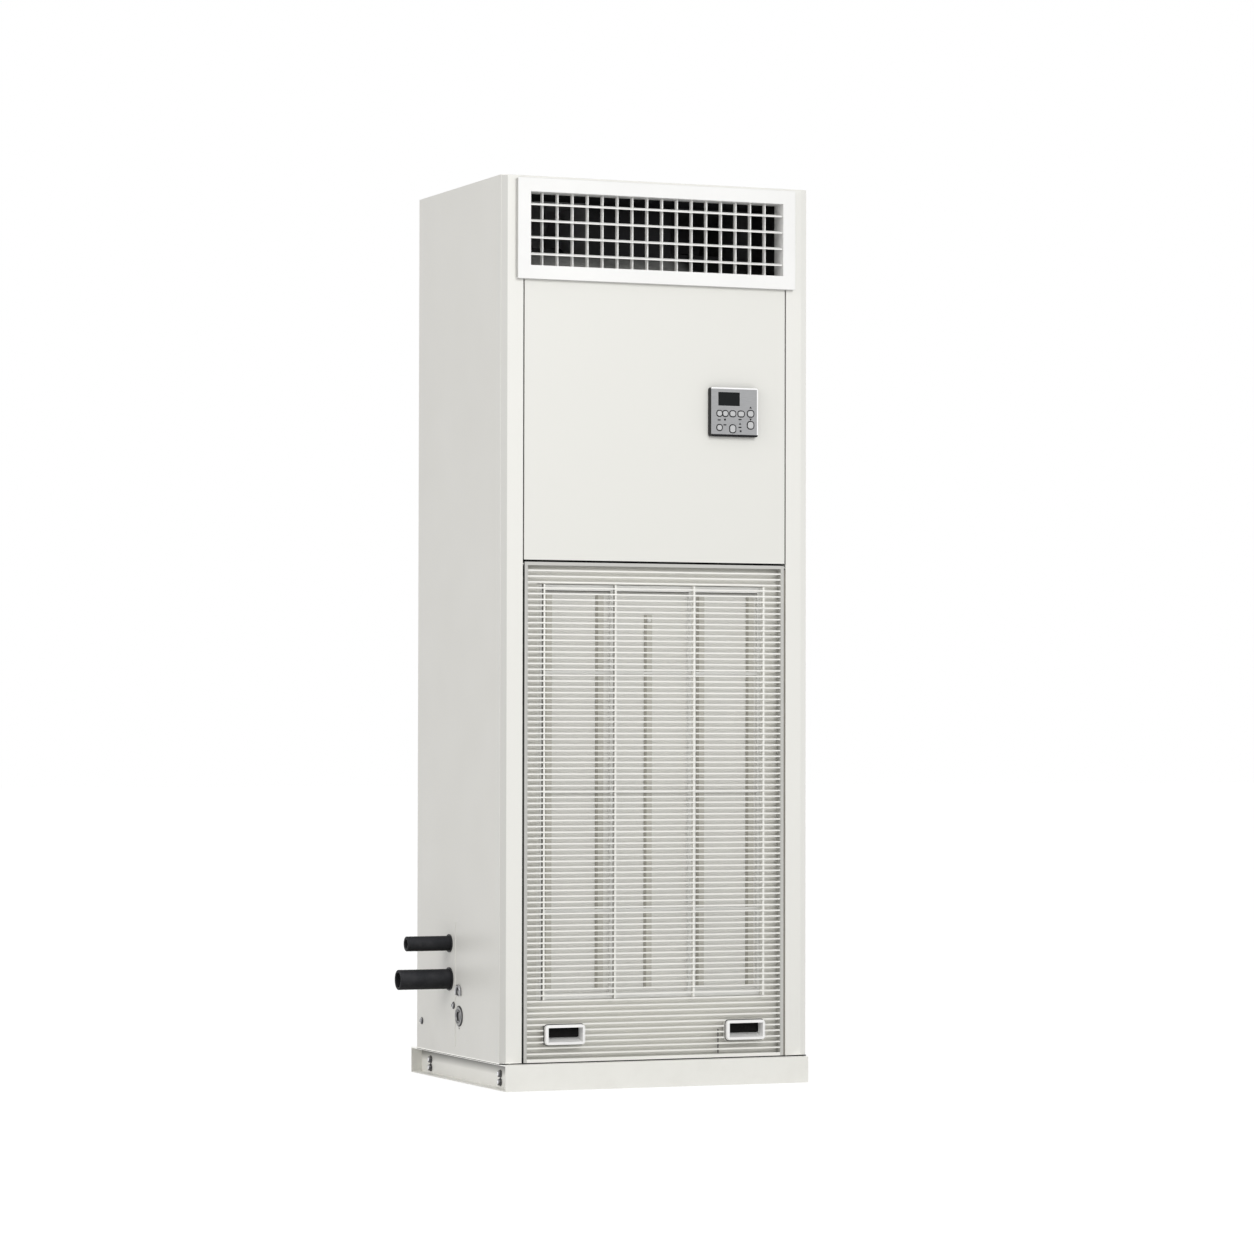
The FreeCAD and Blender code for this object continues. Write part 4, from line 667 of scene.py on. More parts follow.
for side in (-1, 1):
    beside_filter = (side * (filter_high.x + SURROUND_GAP), side * sheet_edge)
    sheets.append(block(beside_filter, sheet_deep, (hole_foot, hole_head)))
sheet_paint = coated("surround coat", SURROUND_WHITE)
new_piece("filter_surround", sheets, sheet_paint, "cabinet", False)

# Duct behind the vanes: sheet steel lined with black foam, which is why the outlet looks dark.
# The fan scrolls behind it are bare grey sheet, darker to the right. A bare metal sill curves up
# from the duct's floor and shows behind the lowest row, with painted shade towards its back and right.
LINING_BLACK = (0.020, 0.020, 0.021, 1)
LINING_RELIEF = (0.6, 0.0010)
SCROLL_GREY = (0.42, 0.42, 0.43, 1)
SCROLL_FADE = 0.08
SCROLL_TONE = 0.30
SILL_GREY = (0.50, 0.50, 0.49, 1)
SILL_GRAIN = 90.0
SILL_RISE = 0.044
SILL_CURVE = 1.25
SILL_SHEET = 0.001
SILL_GAP = 0.002
SILL_STEPS = 24
SILL_SHADE_SPAN = (0.02, 0.12)
SILL_SHADE_BLACK = (0.01, 0.01, 0.01, 1)
SHADE_AT_BACK = 0.75
STREAK_SCALE = 16.0
STREAK_STRETCH = (1, 0.2, 1)
STREAK_TONE = (0.6, 1.1)
FLAKE_TONE = (0.85, 1.1)
FLAKE_ROUGHNESS = (0.40, 0.26)
ZINC_GRAIN = 300.0


def cells_at(tree, scale):
    """A pattern of cells on Object coordinates, with scale in cells a metre."""
    cells = tree.nodes.new("ShaderNodeTexVoronoi")
    put(object_place(tree), cells.inputs["Vector"])
    put(scale, cells.inputs["Scale"])
    return cells.outputs


zinc_group, taken = new_group("zinc spangle", Colour=SILL_GREY, Grain=SILL_GRAIN)
flake = ranged(cells_at(zinc_group, taken["Grain"])["Color"], (0, 1), FLAKE_TONE)
give(
    colour=scaled(taken["Colour"], flake),
    roughness=ranged(flake, FLAKE_TONE, FLAKE_ROUGHNESS),
    height=noise_at(zinc_group, ZINC_GRAIN, 2),
)
lining = moulded("duct lining", LINING_BLACK, roughness=0.9, shine=0.1, relief=LINING_RELIEF)
dress(lining, "discharge_duct")
scroll_sheet = moulded("scroll lining", SCROLL_GREY, roughness=0.9, shine=0.1, relief=LINING_RELIEF)
scroll_x = object_axes(scroll_sheet.node_tree)["X"]
retint(scroll_sheet, ranged(scroll_x, (-SCROLL_FADE, SCROLL_FADE), (1, SCROLL_TONE)))
dress(scroll_sheet, "fan_housings")
duct_low, duct_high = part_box("discharge_duct")
sill_back = np.linspace(0, 1, SILL_STEPS)
sill_y = duct_low.y + SILL_GAP + sill_back * (duct_high.y - duct_low.y - 4 * SILL_GAP)
sill_z = duct_low.z + SILL_GAP + SILL_RISE * sill_back ** SILL_CURVE
sill_half = duct_high.x - 2 * SILL_GAP
# The section goes up the top of the sheet and back along its underside, between two ends in X.
section_y = np.concatenate((sill_y, sill_y[::-1]))
section_z = np.concatenate((sill_z, sill_z[::-1] - SILL_SHEET))
sill_rings = np.stack([
    np.stack((np.full_like(section_y, x), section_y, section_z), -1) for x in (-sill_half, sill_half)
])
sill_shape = (sill_rings, ring_faces(2, 2 * SILL_STEPS, False))
sill_metal = finish("sill metal", zinc_group, METAL_RELIEF, shine=0.1, Colour=SILL_GREY, Grain=SILL_GRAIN)
tree = sill_metal.node_tree
sill_place = object_axes(tree)
# Painted shade: the sill darkens towards its back and towards the right.
to_back = ranged(sill_place["Y"], (sill_y[0], sill_y[-1]), (0, SHADE_AT_BACK))
to_right = ranged(sill_place["X"], SILL_SHADE_SPAN, (0, 1))
streaks = ranged(noise_at(tree, STREAK_SCALE, 4, STREAK_STRETCH), NOISE_SPAN, STREAK_TONE)
retint(sill_metal, streaks)
mix_in_shade(sill_metal, math_node("MAXIMUM", to_back, to_right), SILL_SHADE_BLACK)
new_piece("outlet_sill", [sill_shape], sill_metal, "cabinet")

# Intake grille: one moulding of thin level bars in a narrow frame. Two white finger pulls are
# pressed in near its foot, each with a black panel at the back of its cup and a black ring round
# its rim, both painted shade. A short rib stands behind the bars beside the right one.
GRILLE_WHITE = (0.88, 0.875, 0.835, 1)
PULL_WHITE = (0.91, 0.91, 0.90, 1)
PULL_SHADOW_BLACK = (0.030, 0.030, 0.030, 1)
CUP_SHADE_BLACK = (0.010, 0.010, 0.010, 1)
STOP_GREY = (0.25, 0.245, 0.235, 1)
LINER = 0.0006
LINER_CORNER = 0.004
PULL_WIDTH = 0.089
PULL_BORDER = 0.0062
PULL_FLOOR = 0.0080
PULL_CORNER = 0.0070
PULL_SHADOW = 0.0015
SHADOW_PROUD = 0.0006
PULL_CUP = 0.025
STOP_X = 0.150
STOP_ABOVE_FOOT = 0.008
STOP_TALL = 0.052
STOP_HALF = 0.0013
STOP_CORNER = STOP_HALF * 0.9
STOP_DEPTH = 0.004
CORNER_STEPS = 8
UPRIGHT_WIDTH = 0.0070
UPRIGHT_BLEND = 0.0005
UPRIGHT_SHADE = 0.60
HEAD_SHADE = 0.62
WALL_FACING = (-0.9, -0.6)
WALL_TONE = 0.20
WALL_REACH = 0.3
grille_plastic = moulded("grille plastic", GRILLE_WHITE, roughness=0.45)
upright = bay - GRILLE_GAP - UPRIGHT_WIDTH
head_rail = grille_high.z - UPRIGHT_WIDTH
tree = grille_plastic.node_tree
grille_place = object_axes(tree)
from_middle = math_node("ABSOLUTE", grille_place["X"])
# Painted shade: the frame's uprights and its head bar are darker than the bars.
upright_shade = ranged(from_middle, (upright - UPRIGHT_BLEND, upright), (1, UPRIGHT_SHADE))
head_shade = ranged(grille_place["Z"], (head_rail - UPRIGHT_BLEND, head_rail), (1, HEAD_SHADE))
# The walls of the ribs that face left lie in shade, less so towards the right.
on_wall = ranged(normal_axes(tree)["X"], WALL_FACING, (1, 0))
to_left = ranged(grille_place["X"], (-upright, upright * WALL_REACH), (1, 0))
wall_tone = ranged(math_node("MULTIPLY", on_wall, to_left), (0, 1), (1, WALL_TONE))
frame_shade = math_node("MINIMUM", upright_shade, head_shade)
retint(grille_plastic, math_node("MINIMUM", frame_shade, wall_tone))
dress(grille_plastic, "intake_grille")
dress(moulded("pull plastic", PULL_WHITE, roughness=0.35), "grille_pulls")


def rounded_loop(half_wide, half_tall, corner):
    """A closed outline round a rectangle with four quarter circles, as points across and up."""
    quarter = np.linspace(0, math.pi / 2, CORNER_STEPS)
    across = []
    up = []
    for step, (sign_x, sign_z) in enumerate(((1, 1), (-1, 1), (-1, -1), (1, -1))):
        turn = quarter + step * math.pi / 2
        across.append(sign_x * (half_wide - corner) + corner * np.cos(turn))
        up.append(sign_z * (half_tall - corner) + corner * np.sin(turn))
    return np.concatenate(across), np.concatenate(up)


def loop_ring(x, y, z, loop):
    """An outline's points, seen from the front, round a place."""
    across, up = loop
    return np.stack((x + across, np.full_like(across, y), z + up), -1)


def plate(x, z, loop, front_y, rear_y):
    """A flat plate with an outline seen from the front, between two places along Y."""
    rings = [loop_ring(x, y, z, loop) for y in (rear_y, front_y)]
    return np.stack(rings), ring_faces(2, len(loop[0]), False)


def border(x, z, outer, inner, front_y, rear_y):
    """A flat frame between two outlines."""
    corners = ((outer, rear_y), (outer, front_y), (inner, front_y), (inner, rear_y))
    rings = [loop_ring(x, y, z, loop) for loop, y in corners]
    return np.stack(rings), ring_faces(4, len(outer[0]), True)


pull_low, pull_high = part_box("grille_pulls")
pull_half = PULL_WIDTH / 2
pull_half_tall = (pull_high.z - pull_low.z) / 2
pull_z = (pull_low.z + pull_high.z) / 2
cup_rear = pull_low.y + PULL_CUP
liner_half_tall = pull_half_tall - PULL_BORDER - PULL_FLOOR / 2
liner_z = pull_high.z - PULL_BORDER - liner_half_tall
liner_loop = rounded_loop(pull_half - PULL_BORDER, liner_half_tall, LINER_CORNER)
shadow_inner = rounded_loop(pull_half, pull_half_tall, PULL_CORNER)
shadow_outer = rounded_loop(pull_half + PULL_SHADOW, pull_half_tall + PULL_SHADOW, PULL_CORNER + PULL_SHADOW)
cup_shades = []
shadow_rings = []
for side in (-1, 1):
    pull_x = side * (pull_high.x - pull_half)
    cup_shades.append(plate(pull_x, liner_z, liner_loop, cup_rear - LINER, cup_rear))
    shadow_rings.append(border(pull_x, pull_z, shadow_outer, shadow_inner, front - SHADOW_PROUD, front))
shadow_rubber = moulded("pull shadow black", PULL_SHADOW_BLACK, roughness=0.7, shine=0.1)
new_piece("pull_shadow_rings", shadow_rings, shadow_rubber, "grille")
cup_shade_plastic = moulded("cup shade black", CUP_SHADE_BLACK, roughness=0.7, shine=0.05)
new_piece("pull_cup_shades", cup_shades, cup_shade_plastic, "grille")
stop_loop = rounded_loop(STOP_HALF, STOP_TALL / 2, STOP_CORNER)
stop_z = grille_low.z + STOP_ABOVE_FOOT + STOP_TALL / 2
stop = plate(STOP_X, stop_z, stop_loop, grille_high.y - STOP_DEPTH, grille_high.y)
stop_plastic = moulded("stop plastic", STOP_GREY, roughness=0.6)
new_piece("grille_stop", [stop], stop_plastic, "grille")

# Air filter: a pale plastic frame with a woven net behind its ribs, held by five grey upright
# strips that clip over the frame. The middle strip is shorter and has a small knob at its head.
FILTER_WHITE = (0.92, 0.92, 0.905, 1)
NET_WHITE = (0.90, 0.895, 0.865, 1)
LINT_WHITE = (0.88, 0.87, 0.83, 1)
LINT_SCALE = 14.0
LINT_SPAN = (0.35, 0.7)
LINT_SHARE = 0.35
NET_SHADOW = 0.8
NET_ROUGHNESS = (0.9, 0.6)
NET_RELIEF = (0.5, 0.0006)
THREAD_PITCH = 0.0020
WAVE_STEP = 20.0
STRIP_GREY = (0.66, 0.648, 0.595, 1)
LIP_SHADE_GREY = (0.42, 0.405, 0.36, 1)
KNOB_WHITE = (0.93, 0.93, 0.92, 1)
HEAD_SHADOW_GREY = (0.16, 0.157, 0.148, 1)
STRIP_PLACES = (-0.2312, -0.1145, -0.0035, 0.117, 0.232)
STRIP_WIDTH = 0.018
STRIP_EDGE = 0.0050
STRIP_CORNER = STRIP_EDGE / 3
STRIP_DEPTH = 0.0016
STRIP_END = 0.013
MIDDLE_STRIP = len(STRIP_PLACES) // 2
MIDDLE_DROP = 0.042
KNOB_RADIUS = 0.0042
KNOB_DEPTH = 0.0075
KNOB_BELOW = 0.012
FRAME_BAR = 0.012
HEAD_SHADOW = 0.0018
SHADOW_BACK = 0.0010
dress(moulded("filter frame plastic", FILTER_WHITE, roughness=0.5), "filter_frame")


def threads(tree, direction):
    """Parallel threads: a sine of the place along one axis times the node's scale and WAVE_STEP."""
    wave = tree.nodes.new("ShaderNodeTexWave")
    wave.bands_direction = direction
    put(object_place(tree), wave.inputs["Vector"])
    put(math.tau / THREAD_PITCH / WAVE_STEP, wave.inputs["Scale"])
    return wave.outputs["Fac"]


net_group, taken = new_group("woven net", Colour=NET_WHITE)
weave = math_node("MAXIMUM", threads(net_group, "X"), threads(net_group, "Z"))
lint = ranged(noise_at(net_group, LINT_SCALE, 5), LINT_SPAN, (0, LINT_SHARE))
open_net = mixed(weave, scaled(taken["Colour"], NET_SHADOW), taken["Colour"])
give(
    colour=mixed(lint, open_net, LINT_WHITE),
    roughness=ranged(weave, (0, 1), NET_ROUGHNESS),
    height=weave,
)
dress(finish("filter net", net_group, NET_RELIEF, Colour=NET_WHITE), "filter_media")
net_low, net_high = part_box("filter_media")
strip_foot = net_low.z + STRIP_END
band_half = (STRIP_WIDTH - STRIP_EDGE) / 2
bands = []
edges = []
for index, x in enumerate(STRIP_PLACES):
    strip_head = net_high.z - STRIP_END
    if index == MIDDLE_STRIP:
        strip_head -= MIDDLE_DROP
        knob_start = (x, net_low.y - STRIP_DEPTH, strip_head - KNOB_BELOW)
    half_tall = (strip_head - strip_foot) / 2
    middle_z = (strip_head + strip_foot) / 2
    band = rounded_loop(band_half, half_tall, STRIP_CORNER)
    bands.append(plate(x + STRIP_EDGE / 2, middle_z, band, net_low.y - STRIP_DEPTH, net_low.y))
    lip = rounded_loop(STRIP_EDGE / 2, half_tall, STRIP_CORNER)
    edges.append(plate(x - band_half, middle_z, lip, net_low.y - 2 * STRIP_DEPTH, net_low.y))
strip_plastic = moulded("strip plastic", STRIP_GREY, roughness=0.6)
new_piece("filter_strips", bands, strip_plastic, "filter")
knob_profile = [
    (0, KNOB_RADIUS),
    (KNOB_DEPTH * 0.8, KNOB_RADIUS * 0.9),
    (KNOB_DEPTH * 0.95, KNOB_RADIUS * 0.7),
    (KNOB_DEPTH, KNOB_RADIUS * 0.3),
]
knob = turned(knob_start, (0, -1, 0), knob_profile, False)
knob_plastic = moulded("knob plastic", KNOB_WHITE, roughness=0.4)
new_piece("filter_knob", [knob], knob_plastic, "filter")
# The dark lip along each strip's left edge is painted shade.
lip_shade_plastic = moulded("strip lip shade", LIP_SHADE_GREY, roughness=0.6)
new_piece("strip_shaded_lips", edges, lip_shade_plastic, "filter")
# A dark strip under the frame's head bar is a painted shadow line.
head_bar = filter_high.z - FRAME_BAR
shadow_half = filter_high.x - FRAME_BAR
shadow_deep = (filter_low.y + SHADOW_BACK, filter_high.y)
head_shadow_strip = block((-shadow_half, shadow_half), shadow_deep, (head_bar - HEAD_SHADOW, head_bar))
head_shadow_foam = moulded("filter head shadow", HEAD_SHADOW_GREY, roughness=0.8, shine=0.1)
new_piece("filter_head_shadow", [head_shadow_strip], head_shadow_foam, "filter", False)

# Wired controller: a dark plastic case with a brushed silver fascia, a dark screen in a pale
# frame, and soft keys in printed rings with small marks between them.
SILVER = ((0.325, 0.328, 0.335, 1), (0.400, 0.404, 0.412, 1))
HIGHLIGHT_WHITE = (0.98, 0.98, 0.98, 1)
CASE_BLACK = (0.004, 0.004, 0.005, 1)
SCREEN_BLACK = (0.0165, 0.018, 0.019, 1)
KEY_GREY = (0.52, 0.525, 0.53, 1)
PALE_PRINT = (0.40, 0.405, 0.41, 1)
DARK_PRINT = (0.012, 0.012, 0.013, 1)
BRUSH_SCALE = 60.0
BRUSH_STRETCH = (1, 1, 40)
FASCIA = 0.0016
FASCIA_END = FASCIA * 1.2
SHADE_WIDTH = 0.0008
FOOT_SHADE_WIDTH = 0.0042
HIGHLIGHT_WIDTH = 0.0030
EDGE_BLEND = 1.1
SCREEN_FRAME = 0.0015
SCREEN_CORNER = 0.0010
PRINT = 0.00020
KEY_LIP = 0.0008
KEY_GAP = 0.00030
KEY_RING = 0.0019
KEY_ROUND = 0.8
MARK = 0.0036
case_low, case_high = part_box("controller_case")
face = case_low.y
case_plastic = finish("controller case", skin_group, SKIN_RELIEF, shine=0.15, Roughness=0.34)
tree = case_plastic.node_tree
case_place = object_axes(tree)


def case_edge(axis, start, inward, depth):
    """1 within a depth of one edge of the case, 0 past it, with a short ramp between."""
    ramp = (start + inward * depth, start + inward * depth * EDGE_BLEND)
    return ranged(case_place[axis], sorted(ramp), (1, 0) if inward > 0 else (0, 1))


# The case's sides behind the fascia are black; bands along its left edge and foot are painted shade in that
# black, and bands along its right edge and top are a painted highlight in white.
behind = ranged(case_place["Y"], (face + FASCIA, face + FASCIA_END), (0, 1))
shaded_left_edge = case_edge("X", case_low.x, 1, SHADE_WIDTH)
shaded_foot_edge = case_edge("Z", case_low.z, 1, FOOT_SHADE_WIDTH)
lit_right_edge = case_edge("X", case_high.x, -1, HIGHLIGHT_WIDTH)
lit_top_edge = case_edge("Z", case_high.z, -1, HIGHLIGHT_WIDTH)
brushed = ranged(noise_at(tree, BRUSH_SCALE, 4, BRUSH_STRETCH), NOISE_SPAN, (0, 1))
silver = mixed(brushed, *SILVER)
fascia = mixed(math_node("MAXIMUM", lit_right_edge, lit_top_edge), silver, HIGHLIGHT_WHITE)
housing_and_shade = math_node("MAXIMUM", behind, math_node("MAXIMUM", shaded_left_edge, shaded_foot_edge))
put(mixed(housing_and_shade, fascia, CASE_BLACK), shader_inputs(case_plastic)["Base Color"])
dress(case_plastic, "controller_case")
dress(moulded("screen lens", SCREEN_BLACK, roughness=0.15, shine=0.04), "controller_screen")
key_names = [name for name in nodes if name.endswith("_button")]
dress(moulded("key rubber", KEY_GREY, roughness=0.3), *key_names)
screen_low, screen_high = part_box("controller_screen")
screen_middle = (screen_low + screen_high) / 2
screen_half = (screen_high - screen_low) / 2
frame_inner = rounded_loop(screen_half.x + KEY_GAP, screen_half.z + KEY_GAP, SCREEN_CORNER)
frame_outer = rounded_loop(screen_half.x + SCREEN_FRAME, screen_half.z + SCREEN_FRAME, SCREEN_CORNER)
screen_frame = border(screen_middle.x, screen_middle.z, frame_outer, frame_inner, face - PRINT, face)
pale_print = moulded("pale print", PALE_PRINT, roughness=0.4)
new_piece("screen_border", [screen_frame], pale_print, "cabinet")
key_rings = []
for name in key_names:
    key_low, key_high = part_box(name)
    key_middle = (key_low + key_high) / 2
    half_wide = (key_high.x - key_low.x) / 2 - KEY_LIP + KEY_GAP
    half_tall = (key_high.z - key_low.z) / 2 - KEY_LIP + KEY_GAP
    corner = KEY_ROUND * min(half_wide, half_tall)
    inner = rounded_loop(half_wide, half_tall, corner)
    outer = rounded_loop(half_wide + KEY_RING, half_tall + KEY_RING, corner + KEY_RING)
    key_rings.append(border(key_middle.x, key_middle.z, outer, inner, face - PRINT, face))
dark_print = moulded("dark print", DARK_PRINT, roughness=0.5, shine=0.1)
new_piece("key_rings", key_rings, dark_print, "cabinet")


def pointer(direction):
    """A triangle that points up or down, as an outline across and up."""
    return np.array((-MARK, MARK, 0)) * 0.8, np.array((-MARK, -MARK, MARK)) * 0.6 * direction


bar_mark = rounded_loop(MARK, MARK * 0.35, MARK * 0.3)
dot_mark = rounded_loop(MARK * 0.6, MARK * 0.6, MARK * 0.59)
up_mark = pointer(1)
down_mark = pointer(-1)
# Each mark sits at a place across from the case's left edge and up from its foot.
marks = []
for across, up, outline in (
    (0.0190, 0.0345, bar_mark),
    (0.0325, 0.0355, dot_mark),
    (0.0325, 0.0245, bar_mark),
    (0.0675, 0.0365, bar_mark),
    (0.0675, 0.0280, up_mark),
    (0.0675, 0.0200, bar_mark),
    (0.0690, 0.0120, dot_mark),
    (0.0920, 0.0630, up_mark),
    (0.0920, 0.0370, down_mark),
):
    marks.append(plate(case_low.x + across, case_low.z + up, outline, face - PRINT, face))
new_piece("key_marks", marks, dark_print, "cabinet")

# Pipe stubs: black closed cell foam sleeves with soft rounded ends, with painted shade underneath
# and along the top and painted light on the upper flanks, in rubber grommets. The thin one is on
# the liquid line, the thick one on the gas line.
FOAM_BLACK = (0.013, 0.0135, 0.016, 1)
FOAM_WORN = (0.040, 0.040, 0.043, 1)
FOAM_RELIEF = (0.4, 0.0006)
FOAM_ROUGHNESS = (0.55, 0.75)
CELL_SCALE = 700.0
WEAR_SCALE = 40.0
WEAR_SPAN = (0.4, 0.75)
WEAR_SHARE = 0.4
LIT_FACING = (-0.7, 0.45)
LIT_TONE = (0.3, 1.5)
SHADED_TOP_FACING = (0.70, 0.98)
TOP_SHADE = 0.35
GROMMET_BLACK = (0.020, 0.020, 0.022, 1)
SLEEVE_ROUND = 0.0022
SLEEVE_RIPPLE = 0.00015
SLEEVE_WAVES = (900, 370)
SLEEVE_STEPS = 40
LIQUID_RADIUS = 0.0160
LIQUID_BORE = 0.00914
LIQUID_SHORTER = 0.018
GAS_RADIUS = 0.0215
GAS_BORE = 0.0155
GAS_BELOW_LIQUID = 0.076
foam_group, taken = new_group("closed cell foam", Colour=FOAM_BLACK)
cell_depth = cells_at(foam_group, CELL_SCALE)["Distance"]
wear = ranged(noise_at(foam_group, WEAR_SCALE, 5), WEAR_SPAN, (0, WEAR_SHARE))
foam_colour = mixed(wear, taken["Colour"], FOAM_WORN)
# Painted light and shade by facing: darker underneath, lighter on the upper flanks, darker again along the
# top.
foam_up = normal_axes(foam_group)["Z"]
lit_flanks = ranged(foam_up, LIT_FACING, LIT_TONE)
shaded_top = ranged(foam_up, SHADED_TOP_FACING, (1, TOP_SHADE))
give(
    colour=scaled(foam_colour, math_node("MULTIPLY", lit_flanks, shaded_top)),
    roughness=ranged(cell_depth, (0, 1), FOAM_ROUGHNESS),
    height=cell_depth,
)
sleeve_foam = finish("sleeve foam", foam_group, FOAM_RELIEF, shine=0.22, Colour=FOAM_BLACK)
dress(moulded("grommet rubber", GROMMET_BLACK, roughness=0.5, shine=0.35), "wall_grommets")
sleeve_low, sleeve_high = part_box("pipe_sleeves")
sleeve_y = (sleeve_low.y + sleeve_high.y) / 2
liquid_z = sleeve_high.z - LIQUID_RADIUS
gas_z = liquid_z - GAS_BELOW_LIQUID
bend = np.linspace(0, math.pi / 2, CORNER_STEPS)


def sleeve(z, end, radius, bore):
    """
    A foam tube from the wall to an end: its outside dips by the product of two sine waves less
    one, times the ripple, and quarter circles round both edges of its end.
    """
    straight = sleeve_high.x - end - SLEEVE_ROUND
    along = np.linspace(0, straight, SLEEVE_STEPS)
    dents = SLEEVE_RIPPLE * (np.sin(along * SLEEVE_WAVES[0]) * np.sin(along * SLEEVE_WAVES[1]) - 1)
    rounding = straight + SLEEVE_ROUND * np.sin(bend)
    drop = SLEEVE_ROUND * (1 - np.cos(bend))
    profile = [
        *zip(along, radius + dents),
        *zip(rounding, radius - drop),
        *zip(rounding[::-1], bore + drop[::-1]),
        (0, bore),
    ]
    return turned((sleeve_high.x, sleeve_y, z), (-1, 0, 0), profile, True)


sleeves = [
    sleeve(liquid_z, sleeve_low.x + LIQUID_SHORTER, LIQUID_RADIUS, LIQUID_BORE),
    sleeve(gas_z, sleeve_low.x, GAS_RADIUS, GAS_BORE),
]
foam_sleeves = new_piece("foam_sleeves", sleeves, sleeve_foam, "cabinet")
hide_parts("pipe_sleeves")

# Drain spigot: a turned and plated flange with a raised lip round the bore, and a plated
# saddle that holds the cable beside its grommet. A small printed arrow marks the drain.
PLATED_GREY = (0.30, 0.30, 0.295, 1)
SADDLE_LIT = (0.80, 0.80, 0.80, 1)
SADDLE_SHADED = (0.36, 0.36, 0.37, 1)
PLATED_RELIEF = (0.1, 0.0002)
GASKET_BLACK = (0.03, 0.03, 0.03, 1)
DRAIN_BORE = 0.010
DRAIN_TUBE = 0.013
FLANGE_THICK = 0.003
FLANGE_SQUARE = 0.0012
FLANGE_FACE = 0.0004
FLANGE_BEVEL = 0.0010
LIP_BEVEL = 0.0008
# The groove and the lip inside it, each as a depth behind the drain's end and a radius.
DRAIN_GROOVE = ((FLANGE_FACE, 0.0158), (0.0016, 0.0148), (0.0016, 0.0134))
DRAIN_LIP = ((0.0006, 0.0126), (0, 0.0120), (0, 0.0106))
GASKET = 0.0008
CAP_DEPTH = 0.003
CAP_THICK = 0.003
SADDLE_ROD = 0.0028
SADDLE_HALF = 0.0125
SADDLE_LEG = 0.008
SADDLE_ASIDE = 0.001
SADDLE_STEPS = 17
SADDLE_AROUND = 16
CABLE_HEIGHT = 0.193
PLUG_RADIUS = 0.0058
PLUG_DEPTH = 0.0030
ARROW_BELOW = 0.0265
drain_low, drain_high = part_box("drain_socket")
drain_middle = (drain_low + drain_high) / 2
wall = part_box("pipe_plate")[1].x
flange = drain_high.z - drain_middle.z
length = drain_high.x - drain_low.x
drain_profile = [
    (0, DRAIN_BORE),
    (0, DRAIN_TUBE),
    (length - FLANGE_THICK, DRAIN_TUBE),
    (length - FLANGE_THICK, flange),
    (length - FLANGE_SQUARE, flange),
    (length - FLANGE_FACE, flange - FLANGE_BEVEL),
    *[(length - depth, radius) for depth, radius in DRAIN_GROOVE + DRAIN_LIP],
    (length - LIP_BEVEL, DRAIN_BORE),
]


def on_drain(x, profile, closed):
    """A profile turned round the drain's axis, outwards from a place along X."""
    return turned((x, drain_middle.y, drain_middle.z), (-1, 0, 0), profile, closed)


# The drain, its cap and the cable plug carry this plating's painted light and shade.
plated = finish("plated metal", plating_group, PLATED_RELIEF, metallic=1.0, Colour=PLATED_GREY)
drain_shape = on_drain(drain_high.x, drain_profile, True)
drain_flange = new_piece("drain_flange", [drain_shape], plated, "cabinet")
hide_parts("drain_socket")
gasket_edge = flange + 2 * GASKET
gasket_profile = [(0, flange), (0, gasket_edge), (GASKET, gasket_edge), (GASKET, flange)]
gasket_rubber = moulded("gasket rubber", GASKET_BLACK, roughness=0.7)
gasket = on_drain(wall, gasket_profile, True)
new_piece("drain_gasket", [gasket], gasket_rubber, "cabinet")
cap_profile = [
    (0, DRAIN_BORE * 0.99),
    (CAP_THICK - 0.001, DRAIN_BORE * 0.99),
    (CAP_THICK, DRAIN_BORE * 0.85),
    (CAP_THICK - 0.0004, DRAIN_BORE * 0.3),
]
cap = on_drain(drain_low.x + CAP_DEPTH + CAP_THICK, cap_profile, False)
new_piece("drain_cap", [cap], plated, "cabinet")
cable_y = drain_middle.y + SADDLE_ASIDE
sweep = np.linspace(0, math.pi, SADDLE_STEPS)
path_y = np.concatenate(([SADDLE_HALF], SADDLE_HALF * np.cos(sweep), [-SADDLE_HALF]))
path_z = np.concatenate(([-SADDLE_LEG], SADDLE_HALF * np.sin(sweep), [-SADDLE_LEG]))
heading = np.stack((np.gradient(path_y), np.gradient(path_z)), -1)
heading /= np.linalg.norm(heading, axis=1)[:, None]
angle = np.linspace(0, math.tau, SADDLE_AROUND, endpoint=False)
# A round rod along an arch: each ring lies across the path, in X and in the path's normal.
rod_out = np.broadcast_to(SADDLE_ROD * np.cos(angle), (len(path_y), SADDLE_AROUND))
rod_across = SADDLE_ROD * np.sin(angle)
saddle_rings = np.stack((
    wall - SADDLE_ROD + rod_out,
    cable_y + path_y[:, None] - rod_across * heading[:, 1:],
    CABLE_HEIGHT + path_z[:, None] + rod_across * heading[:, :1],
), -1)
saddle = (saddle_rings, ring_faces(len(path_y), SADDLE_AROUND, False))
